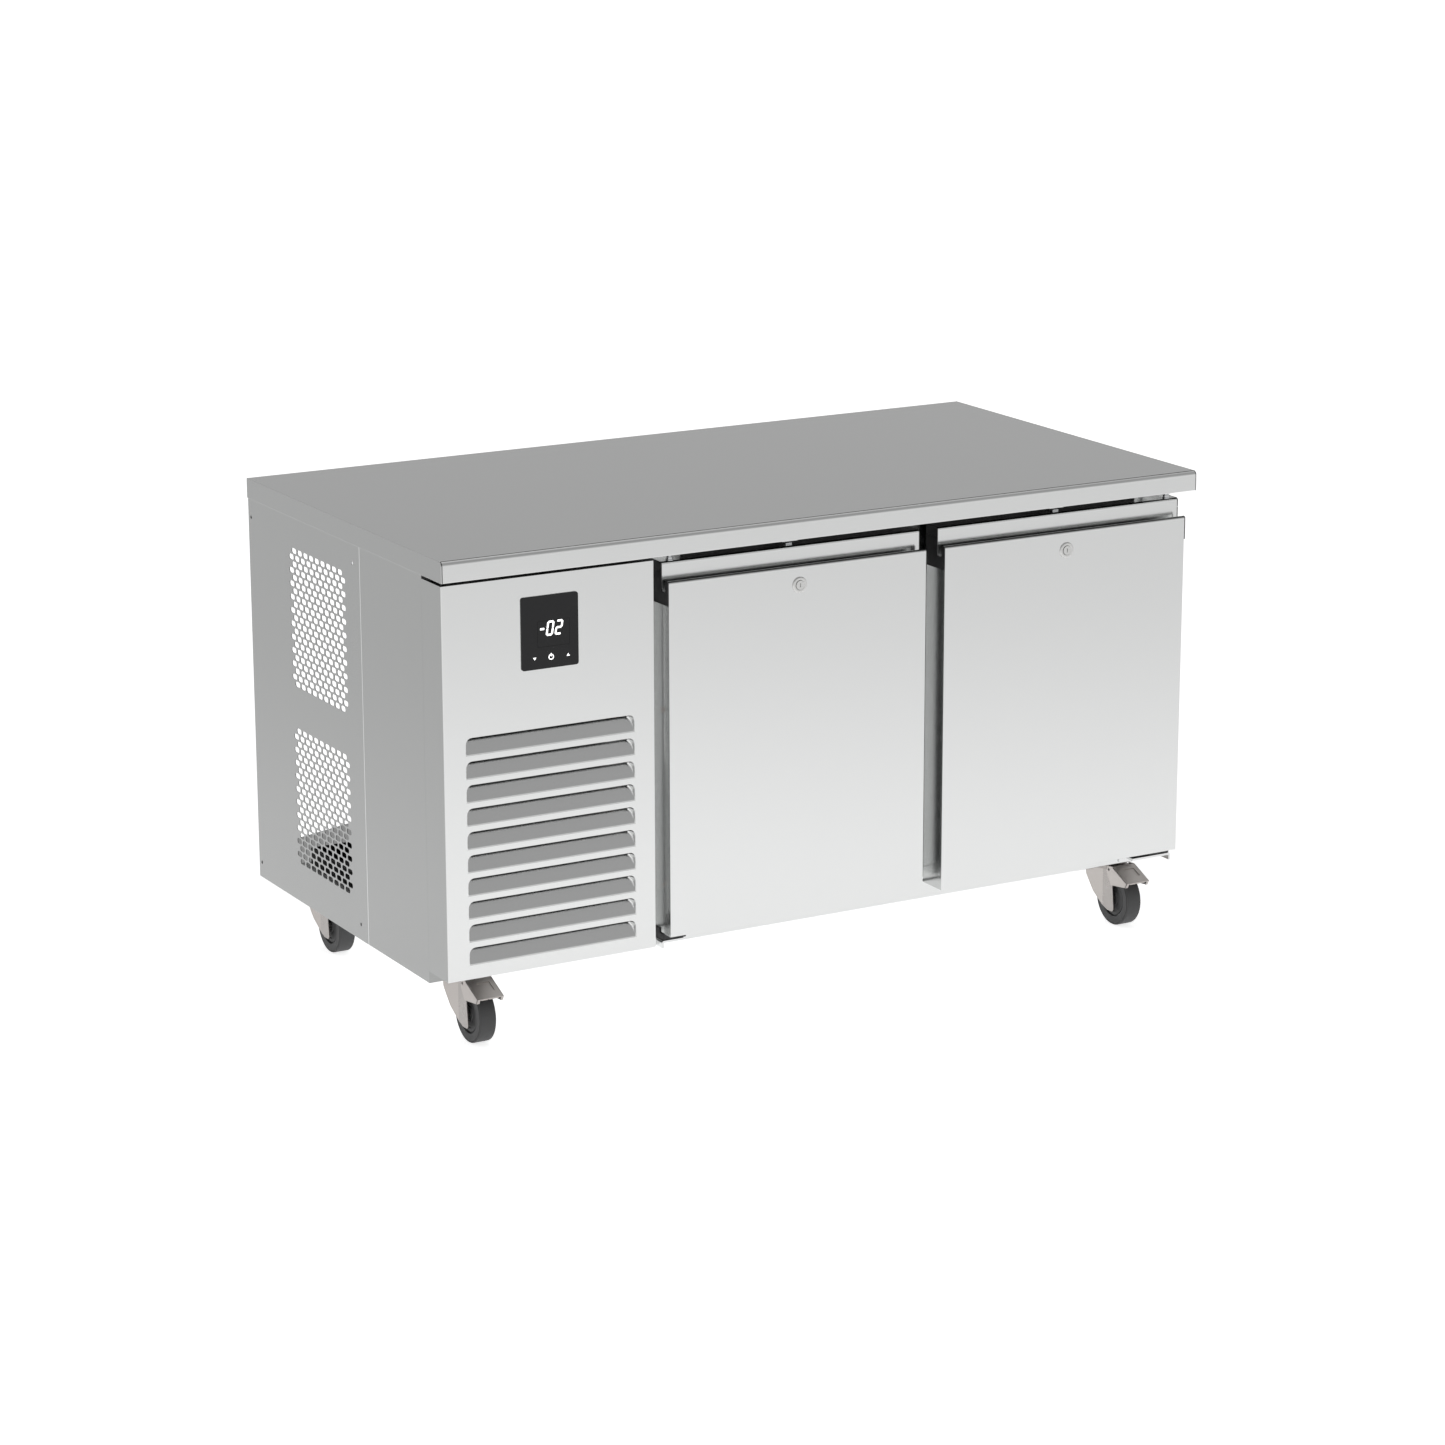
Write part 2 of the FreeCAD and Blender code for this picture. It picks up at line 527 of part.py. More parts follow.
def make_lock(side):
    """Key lock: the barrel's crank pin lifts a bolt through the top of the door."""
    centre = V(LOCK_X[side], FACE_Y, LOCK_Z)
    barrel_r, crank, pin_r, play = 8.0, 5.0, 1.5, 0.4
    flange = rod(LOCK_R, centre - V(0, 2.2, 0), Y_AXIS, 2.2)
    sleeve = rod(SLEEVE_R, centre, Y_AXIS, LOCK_BACK - 0.3 - FACE_Y)
    bore = rod(barrel_r + RUNNING, centre - V(0, 5, 0), Y_AXIS, 60)
    save("lock_%s_body" % side, cut(fuse([flange, sleeve]), bore))
    proud = V(0, 2.8, 0)
    barrel = rod(barrel_r, centre - proud, Y_AXIS, LOCK_BACK - FACE_Y + proud.y)
    key_slot = box((centre.x - 0.7, centre.x + 0.7), (FACE_Y - 4, FACE_Y + 6), (LOCK_Z - 3.5, LOCK_Z + 3.5))
    crank_pin = rod(pin_r, V(centre.x + crank, LOCK_BACK, LOCK_Z - crank), Y_AXIS, 9)
    save("lock_%s_barrel" % side, fuse([cut(barrel, key_slot), crank_pin]))
    foot = box((centre.x - 12, centre.x + 12), BOLT_Y, (LOCK_Z - 14, LOCK_Z + 4))
    stem = box((centre.x - 6, centre.x + 6), BOLT_Y, (LOCK_Z, DOOR_TOP + 3))
    reach, pin_z, half_slot = math.hypot(crank, crank) + pin_r, LOCK_Z - crank, pin_r + play
    slot = box((centre.x + crank - pin_r - 0.6, centre.x + reach + 0.6), grown(BOLT_Y, 1),
               (pin_z - half_slot, pin_z + half_slot))
    save("lock_%s_bolt" % side, cut(fuse([foot, stem]), slot))


def make_hinges():
    """Sheet brackets with fixed pins: an angle above and a plate with a turned-down end below."""
    brackets, pins = [], []
    reach = {"left": 42.6, "right": 83.5}
    for side, outward in (("left", -1), ("right", 1)):
        edge = DOOR_X[side][0] if side == "left" else DOOR_X[side][1]
        hinge_x = edge - outward * HINGE_INSET
        outer = edge + outward * 4.6
        inner = outer - outward * reach[side]
        low_z = (DOOR_Z - 16, DOOR_Z - 12)
        plate = box(sorted((outer, inner)), (-366, FRONT_Y - 6), low_z)
        leg = box(sorted((outer, outer - outward * 4)), (-366, -342), (low_z[0] - 9, low_z[1]))
        bent = fuse([plate, leg])
        corner = [e for e in bent.Edges if e.BoundBox.YLength > 5
                  and abs(e.BoundBox.Center.x - outer) < 0.1 and abs(e.BoundBox.Center.z - low_z[1]) < 0.1]
        lower = bent.makeFillet(3.5, corner)
        flange = box(sorted((outer - outward * 8, inner)), (FRONT_Y - 9, FRONT_Y - 6),
                     (SKIRT_Z + 4, low_z[1]))
        head = box(sorted((edge, edge - outward * 60)), (-372, FRONT_Y), (BODY_TOP - 3, BODY_TOP))
        drop = box(sorted((edge, edge - outward * 60)), (FRONT_Y - 3, FRONT_Y), (BODY_TOP - 26, BODY_TOP))
        hole = rod(PIN_R, V(hinge_x, HINGE_Y, 0), Z_AXIS, HEIGHT)
        brackets += [cut(fuse([lower, flange]), hole), cut(fuse([head, drop]), hole)]
        pins.append(rod(PIN_R, V(hinge_x, HINGE_Y, low_z[0]), Z_AXIS, DOOR_Z + 22 - low_z[0]))
        pins.append(rod(PIN_R, V(hinge_x, HINGE_Y, DOOR_TOP - 22), Z_AXIS, BODY_TOP - DOOR_TOP + 22))
    save("hinge_brackets", *brackets)
    save("hinge_pins", *pins)
    keepers = []
    for lock_x in LOCK_X.values():
        across = (lock_x - 15, lock_x + 15)
        tongue = box(across, (-355, -353), (DOOR_TOP + 6, BODY_TOP))
        tab = box(across, (-355, -335), (BODY_TOP - 2, BODY_TOP))
        keepers.append(fuse([tongue, tab]))
    save("lock_keepers", *keepers)


# ---------------------------------------------------------------- casters
def fork_leg(wheel_y):
    """Flat leg tapering from the crown to a blunt tip below the axle."""
    rear, front = wheel_y + TRAIL + 34, wheel_y - 8.4
    return outline((front, CROWN_Z[1] - 1), (front, 76), (wheel_y - 13.6, 31.5),
                   ((wheel_y - 11.5, 28), (wheel_y - 7, 26.7)), (wheel_y + 10, 26.7),
                   ((wheel_y + 40, 45), (rear, 88)), (rear, CROWN_Z[1] - 1))


def make_fork(name, x, wheel_y, pedal):
    swivel = V(x, wheel_y + TRAIL, 0)
    crown = rod(36, swivel + V(0, 0, CROWN_Z[0]), Z_AXIS, CROWN_Z[1] - CROWN_Z[0])
    bridge = box((x - LEG_OUT, x + LEG_OUT), (wheel_y - 8.4, wheel_y + TRAIL),
                 (CROWN_Z[0], CROWN_Z[1] - 1))
    leg = fork_leg(wheel_y)
    legs = [extrude(leg, (x - LEG_OUT, x - LEG_IN)), extrude(leg, (x + LEG_IN, x + LEG_OUT))]
    stem_hole = rod(8 + RUNNING, swivel, Z_AXIS, 200)
    axle_hole = rod(AXLE_R, V(x - 40, wheel_y, WHEEL_R), X_AXIS, 80)
    tools = [stem_hole, axle_hole]
    if pedal:
        tools.append(rod(2.5 + RUNNING, pedal_pivot(x, wheel_y) - V(40, 0, 0), X_AXIS, 80))
    axle = rod(AXLE_R, V(x - LEG_OUT, wheel_y, WHEEL_R), X_AXIS, 2 * LEG_OUT)
    save(name + "_fork", cut(fuse([crown, bridge] + legs), *tools), axle)


def make_wheel(name, x, wheel_y):
    start = V(x - WHEEL_W / 2, wheel_y, WHEEL_R)
    tyre = rod(WHEEL_R, start, X_AXIS, WHEEL_W)
    rims = [e for e in tyre.Edges if e.BoundBox.XLength < 0.01]
    tyre = cut(tyre.makeFillet(4, rims), rod(HUB_R, start, X_AXIS, WHEEL_W))
    hub = cut(rod(HUB_R, start, X_AXIS, WHEEL_W), rod(AXLE_R + RUNNING, start, X_AXIS, WHEEL_W))
    save(name + "_wheel", hub, tyre)


def pedal_pivot(x, wheel_y):
    return V(x, wheel_y - 1.5, 106.0)


def make_pedal(name, x, wheel_y):
    """Brake pedal: sloping plate with a pressed recess and a turned lip, on two cheeks."""
    half = 24.3
    top, toe = (wheel_y - 12.8, 114.0), (wheel_y - 60.3, 93.5)
    plate = outline(top, toe, (toe[0] + 4.6, toe[1] - 9), (toe[0] + 6.6, toe[1] - 8),
                    (toe[0] + 3, toe[1] - 1), (top[0] + 1, top[1] - 2))
    cheek = outline(top, toe, (toe[0] + 4.6, toe[1] - 9), (wheel_y - 8.4, 78),
                    (wheel_y + 4, 97), (wheel_y + 4, 112))
    run, rise = top[0] - toe[0], top[1] - toe[1]
    length = math.hypot(run, rise)

    def on_plate(along, up):
        """Point of the YZ plane at a distance from the toe, up off the plate's face."""
        return (toe[0] + (along * run - up * rise) / length, toe[1] + (along * rise + up * run) / length)

    near, far, deep = 17.0, 40.0, 0.9
    recess = outline(on_plate(near, 1), on_plate(far, 1), on_plate(far, -deep), on_plate(near, -deep))
    sides = [extrude(cheek, (x - half, x - half + 2)), extrude(cheek, (x + half - 2, x + half))]
    shell = cut(fuse([extrude(plate, (x - half, x + half))] + sides), extrude(recess, (x - 9, x + 15)))
    pin = rod(2.5, pedal_pivot(x, wheel_y) - V(half, 0, 0), X_AXIS, 2 * half)
    save(name + "_pedal", fuse([shell, pin]))


def make_casters():
    plates = []
    for name, x, wheel_y in caster_places():
        make_fork(name, x, wheel_y, "front" in name)
        make_wheel(name, x, wheel_y)
        if "front" in name:
            make_pedal(name, x, wheel_y)
        swivel = V(x, wheel_y + TRAIL, 0)
        plate = box((x - 50, x + 50), (swivel.y - 40, swivel.y + 40), (RACE_TOP, RACE_TOP + 3))
        race = rod(33, swivel + V(0, 0, CROWN_Z[1] + 0.5), Z_AXIS, RACE_TOP - CROWN_Z[1] - 0.5)
        stem = rod(8, swivel + V(0, 0, 96), Z_AXIS, RACE_TOP - 96)
        nut = rod(12, swivel + V(0, 0, 95), Z_AXIS, CROWN_Z[0] - 0.5 - 95)
        plates.append(cut(fuse([plate, race, stem, nut]), *plate_holes(RACE_TOP - 1, RACE_TOP + 4, 4.25)))
    save("caster_top_plates", *plates)
    shanks = plate_holes(RACE_TOP, FLOOR_Z, 4.0)
    save("caster_bolts", *[fuse([s, rod(6.5, V(*s.BoundBox.Center[:2], RACE_TOP - 5.3), Z_AXIS, 5.3)])
                           for s in shanks])


make_worktop()
make_cold_body()
make_base()
make_side_panels()
make_front_cover()
make_controller()
make_rear_panel()
save("fan_motors", make_condenser(), make_evaporator())
make_compressor()
make_unit_trim()
make_shelves()
for door_side in DOOR_X:
    make_door(door_side)
    make_lock(door_side)
make_hinges()
make_casters()
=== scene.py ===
import json
import math

import bmesh
import bpy
from mathutils import Matrix, Vector
from mathutils.geometry import tessellate_polygon


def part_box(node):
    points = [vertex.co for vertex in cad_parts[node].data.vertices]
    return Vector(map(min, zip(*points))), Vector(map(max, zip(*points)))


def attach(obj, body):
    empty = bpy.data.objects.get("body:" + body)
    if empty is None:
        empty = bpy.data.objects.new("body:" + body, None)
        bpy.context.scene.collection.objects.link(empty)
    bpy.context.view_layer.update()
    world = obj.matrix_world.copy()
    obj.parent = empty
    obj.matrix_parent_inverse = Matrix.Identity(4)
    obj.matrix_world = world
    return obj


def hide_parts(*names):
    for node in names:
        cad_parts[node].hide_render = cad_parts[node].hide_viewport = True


# Undercounter refrigerator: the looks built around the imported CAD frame. Everything is in metres,
# +X along the front, -Y towards the user, +Z up. Helper sizes written with mm() are millimetres.

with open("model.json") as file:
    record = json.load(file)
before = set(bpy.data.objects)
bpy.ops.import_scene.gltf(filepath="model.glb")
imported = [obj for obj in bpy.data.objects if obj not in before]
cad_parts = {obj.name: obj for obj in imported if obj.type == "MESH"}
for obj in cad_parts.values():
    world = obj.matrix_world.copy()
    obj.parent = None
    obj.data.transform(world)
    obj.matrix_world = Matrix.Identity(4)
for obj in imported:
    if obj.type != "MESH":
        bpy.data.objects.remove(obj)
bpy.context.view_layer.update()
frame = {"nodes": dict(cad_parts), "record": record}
NODES = frame["nodes"]
SIDES = ("left", "right")
CASTERS = ("front_left", "front_right", "rear_left", "rear_right")


def mm(value):
    return value / 1000.0


# ---- camera, floor and light
CAMERA_PLACE = Vector((-3.5247, -6.2287, 2.2976))
CAMERA_HEADING, CAMERA_DIP, CAMERA_ROLL = 29.488, 14.882, 0.122  # degrees
CAMERA_LENS, SENSOR_WIDTH, CAMERA_REACH = 102.66, 36.0, 500.0  # mm, mm, metres


def make_camera():
    data = bpy.data.cameras.new("camera")
    data.lens, data.sensor_width, data.clip_end = CAMERA_LENS, SENSOR_WIDTH, CAMERA_REACH
    camera = bpy.data.objects.new("camera", data)
    bpy.context.scene.collection.objects.link(camera)
    heading, dip = math.radians(CAMERA_HEADING), math.radians(CAMERA_DIP)
    turn = (Matrix.Rotation(-heading, 4, "Z") @ Matrix.Rotation(math.pi / 2 - dip, 4, "X")
            @ Matrix.Rotation(math.radians(-CAMERA_ROLL), 4, "Z"))
    camera.matrix_world = Matrix.Translation(CAMERA_PLACE) @ turn
    bpy.context.scene.camera = camera


# grey levels of three sides of the room, from (height above the horizon, level) pairs
SKY_FRONT = ((0.0, 1.0), (0.2, 0.75), (0.45, 0.44), (0.8, 0.38), (1.0, 0.45))
SKY_BACK = ((0.0, 0.55), (0.25, 0.44), (0.48, 0.5), (0.55, 0.07), (0.7, 0.07), (0.77, 0.8),
            (1.0, 0.8))
SKY_LEFT = ((0.0, 0.4), (0.3, 0.55), (0.5, 0.55), (0.8, 0.4), (1.0, 0.45))
# directions of the blends and of the floor's painted-shade fades, and where each starts and ends
TOWARDS_FRONT, TOWARDS_LEFT = ((0.2, -0.98, 0.0), -0.35, 0.5), ((-0.9, 0.43, 0.0), 0.2, 0.8)
FLOOR_FADE, FLOOR_AHEAD = ((-0.943, 0.333, 0.0), 0.6, 2.8), ((0.476, -0.841, 0.0), 0.5, 3.9)
FLOOR_SIZE = 120.0
FLOOR_LIGHT, FLOOR_GREY, FLOOR_FAR = (0.9, 0.9, 0.9), (0.72, 0.72, 0.72), (0.66, 0.66, 0.66)
FLOOR_GLOW, FLOOR_ROUGH = 0.8, 0.9


def put(node, values):
    """Fixed values for a node's inputs, by name."""
    for name, value in values.items():
        node.inputs[name].default_value = value


def sky_ramp(nodes, levels):
    """Grey level by height above the horizon, from (height, level) pairs."""
    ramp = nodes.new("ShaderNodeValToRGB")
    ramp.color_ramp.interpolation = "EASE"
    while len(ramp.color_ramp.elements) < len(levels):
        ramp.color_ramp.elements.new(0.5)
    for element, (position, level) in zip(ramp.color_ramp.elements, levels):
        element.position, element.color = position, (level, level, level, 1.0)
    return ramp


def facing(nodes, links, direction, towards, low, high):
    """0 to 1 as a direction or a place turns or moves towards a given direction."""
    dot = nodes.new("ShaderNodeVectorMath")
    dot.operation = "DOT_PRODUCT"
    dot.inputs[1].default_value = towards
    links.new(direction, dot.inputs[0])
    fade = nodes.new("ShaderNodeMapRange")
    fade.interpolation_type = "SMOOTHSTEP"
    put(fade, {"From Min": low, "From Max": high})
    links.new(dot.outputs["Value"], fade.inputs["Value"])
    return fade.outputs["Result"]


def blend_colours(nodes, links, share, one, two):
    mix = nodes.new("ShaderNodeMix")
    mix.data_type = "RGBA"
    links.new(share, mix.inputs["Factor"])
    links.new(one, mix.inputs["A"])
    links.new(two, mix.inputs["B"])
    return mix.outputs["Result"]


def make_studio():
    """Bright floor, softly lit room: light in front, dimmer behind and on the left."""
    scene = bpy.context.scene
    scene.view_settings.view_transform = "Standard"
    world = bpy.data.worlds.new("studio")
    scene.world = world
    world.use_nodes = True
    nodes, links = world.node_tree.nodes, world.node_tree.links
    direction = nodes.new("ShaderNodeTexCoord").outputs["Generated"]
    split = nodes.new("ShaderNodeSeparateXYZ")
    links.new(direction, split.inputs["Vector"])
    walls = []
    for levels in SKY_FRONT, SKY_BACK, SKY_LEFT:
        ramp = sky_ramp(nodes, levels)
        links.new(split.outputs["Z"], ramp.inputs["Fac"])
        walls.append(ramp.outputs["Color"])
    front, back, left = walls
    in_front = facing(nodes, links, direction, *TOWARDS_FRONT)
    on_left = facing(nodes, links, direction, *TOWARDS_LEFT)
    room = blend_colours(nodes, links, on_left, blend_colours(nodes, links, in_front, back, front), left)
    links.new(room, nodes["Background"].inputs["Color"])
    bpy.ops.mesh.primitive_plane_add(size=FLOOR_SIZE, location=(0, 0, 0))
    floor = bpy.context.object
    floor.name = "floor"
    floor.data.materials.append(floor_material())


def floor_material():
    """Pale floor with painted shade: it fades to light grey at the back left and far in front."""
    material, nodes, links = new_material("floor_paint")
    place = nodes.new("ShaderNodeTexCoord").outputs["Object"]
    fade = facing(nodes, links, place, *FLOOR_FADE)
    near = tint(nodes, links, fade, FLOOR_LIGHT, FLOOR_GREY, (0.0, 1.0))
    far = nodes.new("ShaderNodeRGB")
    far.outputs[0].default_value = (*FLOOR_FAR, 1.0)
    ahead = facing(nodes, links, place, *FLOOR_AHEAD)
    paint = blend_colours(nodes, links, ahead, near, far.outputs[0])
    shader = nodes["Principled BSDF"]
    put(shader, {"Roughness": FLOOR_ROUGH, "Specular IOR Level": 0.0, "Emission Strength": FLOOR_GLOW})
    links.new(paint, shader.inputs["Base Color"])
    links.new(paint, shader.inputs["Emission Color"])
    return material


# ---- materials
NOISE_RANGE = (0.3, 0.7)  # the part of a noise field that is spread out
GRAIN_SCALE, SCRATCH_SCALE, CLOUD_SCALE, GLOW_SCALE = 1800.0, 900.0, 5.0, 400.0
SCRATCH_STRETCH, SCRATCH_DEPTH, STEEL_VARIATION = 0.02, 0.0012, 0.008  # the depth in mm


def new_material(name):
    material = bpy.data.materials.new(name)
    material.use_nodes = True
    return material, material.node_tree.nodes, material.node_tree.links


def noise_field(nodes, links, scale, stretch=(1, 1, 1), detail=4.0):
    coords = nodes.new("ShaderNodeTexCoord")
    mapping = nodes.new("ShaderNodeMapping")
    noise = nodes.new("ShaderNodeTexNoise")
    put(mapping, {"Scale": stretch})
    put(noise, {"Scale": scale, "Detail": detail})
    links.new(coords.outputs["Object"], mapping.inputs["Vector"])
    links.new(mapping.outputs["Vector"], noise.inputs["Vector"])
    return noise.outputs["Fac"]


def spread(nodes, links, field, low, high):
    """Noise field turned into a value between low and high."""
    node = nodes.new("ShaderNodeMapRange")
    put(node, dict(zip(("From Min", "From Max", "To Min", "To Max"), (*NOISE_RANGE, low, high))))
    links.new(field, node.inputs["Value"])
    return node.outputs["Result"]


def tint(nodes, links, field, one, two, ends=NOISE_RANGE):
    """Field turned into a colour between two shades."""
    ramp = nodes.new("ShaderNodeValToRGB")
    for element, position, colour in zip(ramp.color_ramp.elements, ends, (one, two)):
        element.position, element.color = position, (*colour, 1.0)
    links.new(field, ramp.inputs["Fac"])
    return ramp.outputs["Color"]


def shade(colour, factor):
    return tuple(min(1.0, c * factor) for c in colour)


def add_bump(nodes, links, field, shader, depth):
    bump = nodes.new("ShaderNodeBump")
    put(bump, {"Strength": 1.0, "Distance": depth})
    links.new(field, bump.inputs["Height"])
    links.new(bump.outputs["Normal"], shader.inputs["Normal"])


def vary(nodes, links, shader, colour, variation, colour_field, roughness, swing, rough_field):
    """Colour and roughness that each follow a noise field a little way up and down."""
    links.new(tint(nodes, links, colour_field, shade(colour, 1 - variation), shade(colour, 1 + variation)),
              shader.inputs["Base Color"])
    links.new(spread(nodes, links, rough_field, roughness * (1 - swing), roughness * (1 + swing)),
              shader.inputs["Roughness"])


def uniform(name, colour, roughness, metallic, variation, scale, bump=0.0, gloss=0.5):
    """Colour and roughness with a cloudy variation, and an optional fine grain."""
    material, nodes, links = new_material(name)
    shader = nodes["Principled BSDF"]
    put(shader, {"Metallic": metallic, "Specular IOR Level": gloss})
    field = noise_field(nodes, links, scale)
    vary(nodes, links, shader, colour, variation, field, roughness, 0.06, field)
    if bump:
        add_bump(nodes, links, noise_field(nodes, links, GRAIN_SCALE, detail=2.0), shader, bump)
    return material


def brushed(name, colour, roughness, along):
    """Sheet metal with fine scratches along one axis and a slow cloudiness."""
    material, nodes, links = new_material(name)
    shader = nodes["Principled BSDF"]
    put(shader, {"Metallic": 1.0})
    stretch = tuple(SCRATCH_STRETCH if axis == along else 1.0 for axis in "xyz")
    scratches = noise_field(nodes, links, SCRATCH_SCALE, stretch, detail=3.0)
    clouds = noise_field(nodes, links, CLOUD_SCALE)
    vary(nodes, links, shader, colour, STEEL_VARIATION, scratches, roughness, 0.03, clouds)
    add_bump(nodes, links, scratches, shader, mm(SCRATCH_DEPTH))
    return material


def shaded_shell_material(name, front_colour, shade_colour, roughness):
    """Brushed steel with painted shade: darker on the faces turned right and back."""
    material = brushed(name, front_colour, roughness, "z")
    nodes, links = material.node_tree.nodes, material.node_tree.links
    base = nodes["Principled BSDF"].inputs["Base Color"]
    geometry = nodes.new("ShaderNodeNewGeometry")
    share = facing(nodes, links, geometry.outputs["True Normal"], (1.0, 1.0, 0.0), 0.4, 0.8)
    # painted shade: the darker steel, blended onto the faces turned right and back
    outer = tint(nodes, links, noise_field(nodes, links, CLOUD_SCALE), shade_colour,
                 shade(shade_colour, 1.01))
    links.new(blend_colours(nodes, links, share, base.links[0].from_socket, outer), base)
    return material


def glowing(name, colour, strength):
    """Colour that also gives off a little light."""
    material, nodes, links = new_material(name)
    shader = nodes["Principled BSDF"]
    field = noise_field(nodes, links, GLOW_SCALE)
    links.new(tint(nodes, links, field, shade(colour, 0.97), colour), shader.inputs["Base Color"])
    put(shader, {"Emission Color": (*colour, 1.0), "Emission Strength": strength})
    return material


# the second colour is painted shade: a darker copy of the steel for faces turned away from the light
STEEL, SHADED_STEEL, STEEL_ROUGH = (0.7, 0.706, 0.703), (0.35, 0.354, 0.352), 0.18
CASTER_GRAIN = mm(0.0006)
# brushed: colour, roughness, scratch axis. plain: colour, roughness, metallic, variation, scale, grain.
MATERIALS = {"steel_" + axis: brushed("steel_brushed_along_" + axis, STEEL, STEEL_ROUGH, axis)
             for axis in "xyz"}
MATERIALS.update({
    # painted shade: the same brushed steel, darker, for the left sides and the back
    "steel_painted_shade": brushed("steel_painted_side_shade", SHADED_STEEL, 0.25, "z"),
    "steel_shell_painted_shade": shaded_shell_material("steel_body_shell_painted_shade", STEEL, SHADED_STEEL, STEEL_ROUGH),
    "galvanised": uniform("galvanised_sheet", (0.58, 0.59, 0.59), 0.5, 0.5, 0.05, 60.0),
    # painted light: a faint glow on the rear sheet's inner face, standing in for light inside the compartment
    "rear_painted_glow": glowing("rear_sheet_painted_glow", (0.3, 0.302, 0.3), 0.8),
    # painted reflection: dark steel for thin strips on rounded edges, standing in for their dark reflection
    "steel_painted_reflection": brushed("steel_painted_dark_reflection", (0.12, 0.122, 0.121), 0.2, "x"),
    # painted shade: dark strip for the shadow in the gap above the doors
    "gap_painted_shade": uniform("dark_strip_painted_shade", (0.05, 0.05, 0.051), 0.6, 0.0, 0.05, 120.0),
    # painted shade: near-black board core, so the worktop's corner gaps read dark
    "core_board": uniform("board_painted_gap_shade", (0.012, 0.012, 0.013), 0.6, 0.0, 0.1, 250.0),
    "rigid_foam": uniform("rigid_foam", (0.80, 0.68, 0.40), 0.9, 0.0, 0.08, 300.0),
    "black_plastic": uniform("black_moulding", (0.016, 0.016, 0.017), 0.5, 0.0, 0.1, 120.0, mm(0.02)),
    "gasket": uniform("grey_gasket", (0.10, 0.105, 0.11), 0.6, 0.0, 0.05, 90.0),
    "nickel": uniform("satin_nickel", (0.62, 0.62, 0.61), 0.28, 1.0, 0.02, 200.0),
    "bright_steel": uniform("bright_zinc", (0.55, 0.56, 0.57), 0.3, 1.0, 0.06, 150.0),
    "caster_steel": uniform("caster_steel", (0.35, 0.328, 0.315), 0.28, 1.0, 0.008, 40.0, CASTER_GRAIN),
    # painted light: a lighter copy of the caster steel for the legs' rear halves and the pedal plate
    "caster_painted_light": uniform("caster_steel_painted_light", (0.46, 0.43, 0.412), 0.4, 1.0, 0.008, 40.0,
                                   CASTER_GRAIN),
    "wheel_rubber": uniform("dark_grey_tread", (0.044, 0.044, 0.045), 0.6, 0.0, 0.03, 160.0, mm(0.008)),
    "compressor_black": uniform("black_enamel", (0.012, 0.012, 0.013), 0.25, 0.0, 0.1, 50.0),
    "fin_aluminium": brushed("aluminium_fins", (0.72, 0.73, 0.74), 0.35, "z"),
    "copper": uniform("copper_tube", (0.72, 0.36, 0.22), 0.28, 1.0, 0.08, 80.0),
    "fan_plastic": uniform("fan_plastic", (0.03, 0.03, 0.032), 0.5, 0.0, 0.1, 90.0),
    "motor_grey": uniform("dark_enamel", (0.05, 0.05, 0.055), 0.4, 0.0, 0.1, 60.0),
    "shelf_wire": uniform("coated_wire", (0.45, 0.46, 0.47), 0.4, 0.0, 0.04, 90.0),
    "bezel": uniform("dark_display_glass", (0.018, 0.018, 0.019), 0.35, 0.0, 0.03, 90.0, gloss=0.2),
    "bezel_line": uniform("display_window_line", (0.008, 0.008, 0.009), 0.3, 0.0, 0.03, 90.0,
                                 gloss=0.1),
    "steel_blade": brushed("steel_louvres", STEEL, 0.22, "x"),
    "digits": glowing("lit_digits", (1.0, 1.0, 1.0), 1.2),
})
MATERIALS["stainless"] = MATERIALS["steel_z"]


# ---- building pieces
AXES = {"x": (1, 2, 0), "y": (0, 2, 1), "z": (0, 1, 2)}  # the two axes of a section, then its own


def span(node):
    """Lowest and highest corner of a CAD node, in millimetres."""
    low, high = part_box(node)
    return low * 1000, high * 1000


def fillet(corners, steps=6):
    """Closed outline from (a, b) or (a, b, radius) corners, each radius turned into an arc."""
    points = []
    for i, corner in enumerate(corners):
        here = Vector(corner[:2])
        if len(corner) < 3:
            points.append(here)
            continue
        towards = (Vector(corners[i - 1][:2]) - here).normalized()
        away = (Vector(corners[(i + 1) % len(corners)][:2]) - here).normalized()
        half = towards.angle(away) / 2
        centre = here + (towards + away).normalized() * corner[2] / math.sin(half)
        start = here + towards * corner[2] / math.tan(half) - centre
        end = here + away * corner[2] / math.tan(half) - centre
        sweep = math.pi - 2 * half
        for k in range(steps + 1):
            share = k / steps
            points.append(centre + (start * math.sin((1 - share) * sweep)
                                    + end * math.sin(share * sweep)) / math.sin(sweep))
    return [tuple(p) for i, p in enumerate(points) if (p - points[i - 1]).length > 1e-4]


def rectangle(a, b, radius=None):
    corners = [(a[0], b[0]), (a[1], b[0]), (a[1], b[1]), (a[0], b[1])]
    return fillet([c + (radius,) for c in corners]) if radius else corners


def front_area(low, high, inset=0.0, radius=None):
    """Rectangle seen from the front, drawn in from the corners of a box."""
    return rectangle((low.x + inset, high.x - inset), (low.z + inset, high.z - inset), radius)


def circle(centre, radius, steps=24):
    return [(centre[0] + radius * math.cos(2 * math.pi * k / steps),
             centre[1] + radius * math.sin(2 * math.pi * k / steps)) for k in range(steps)]


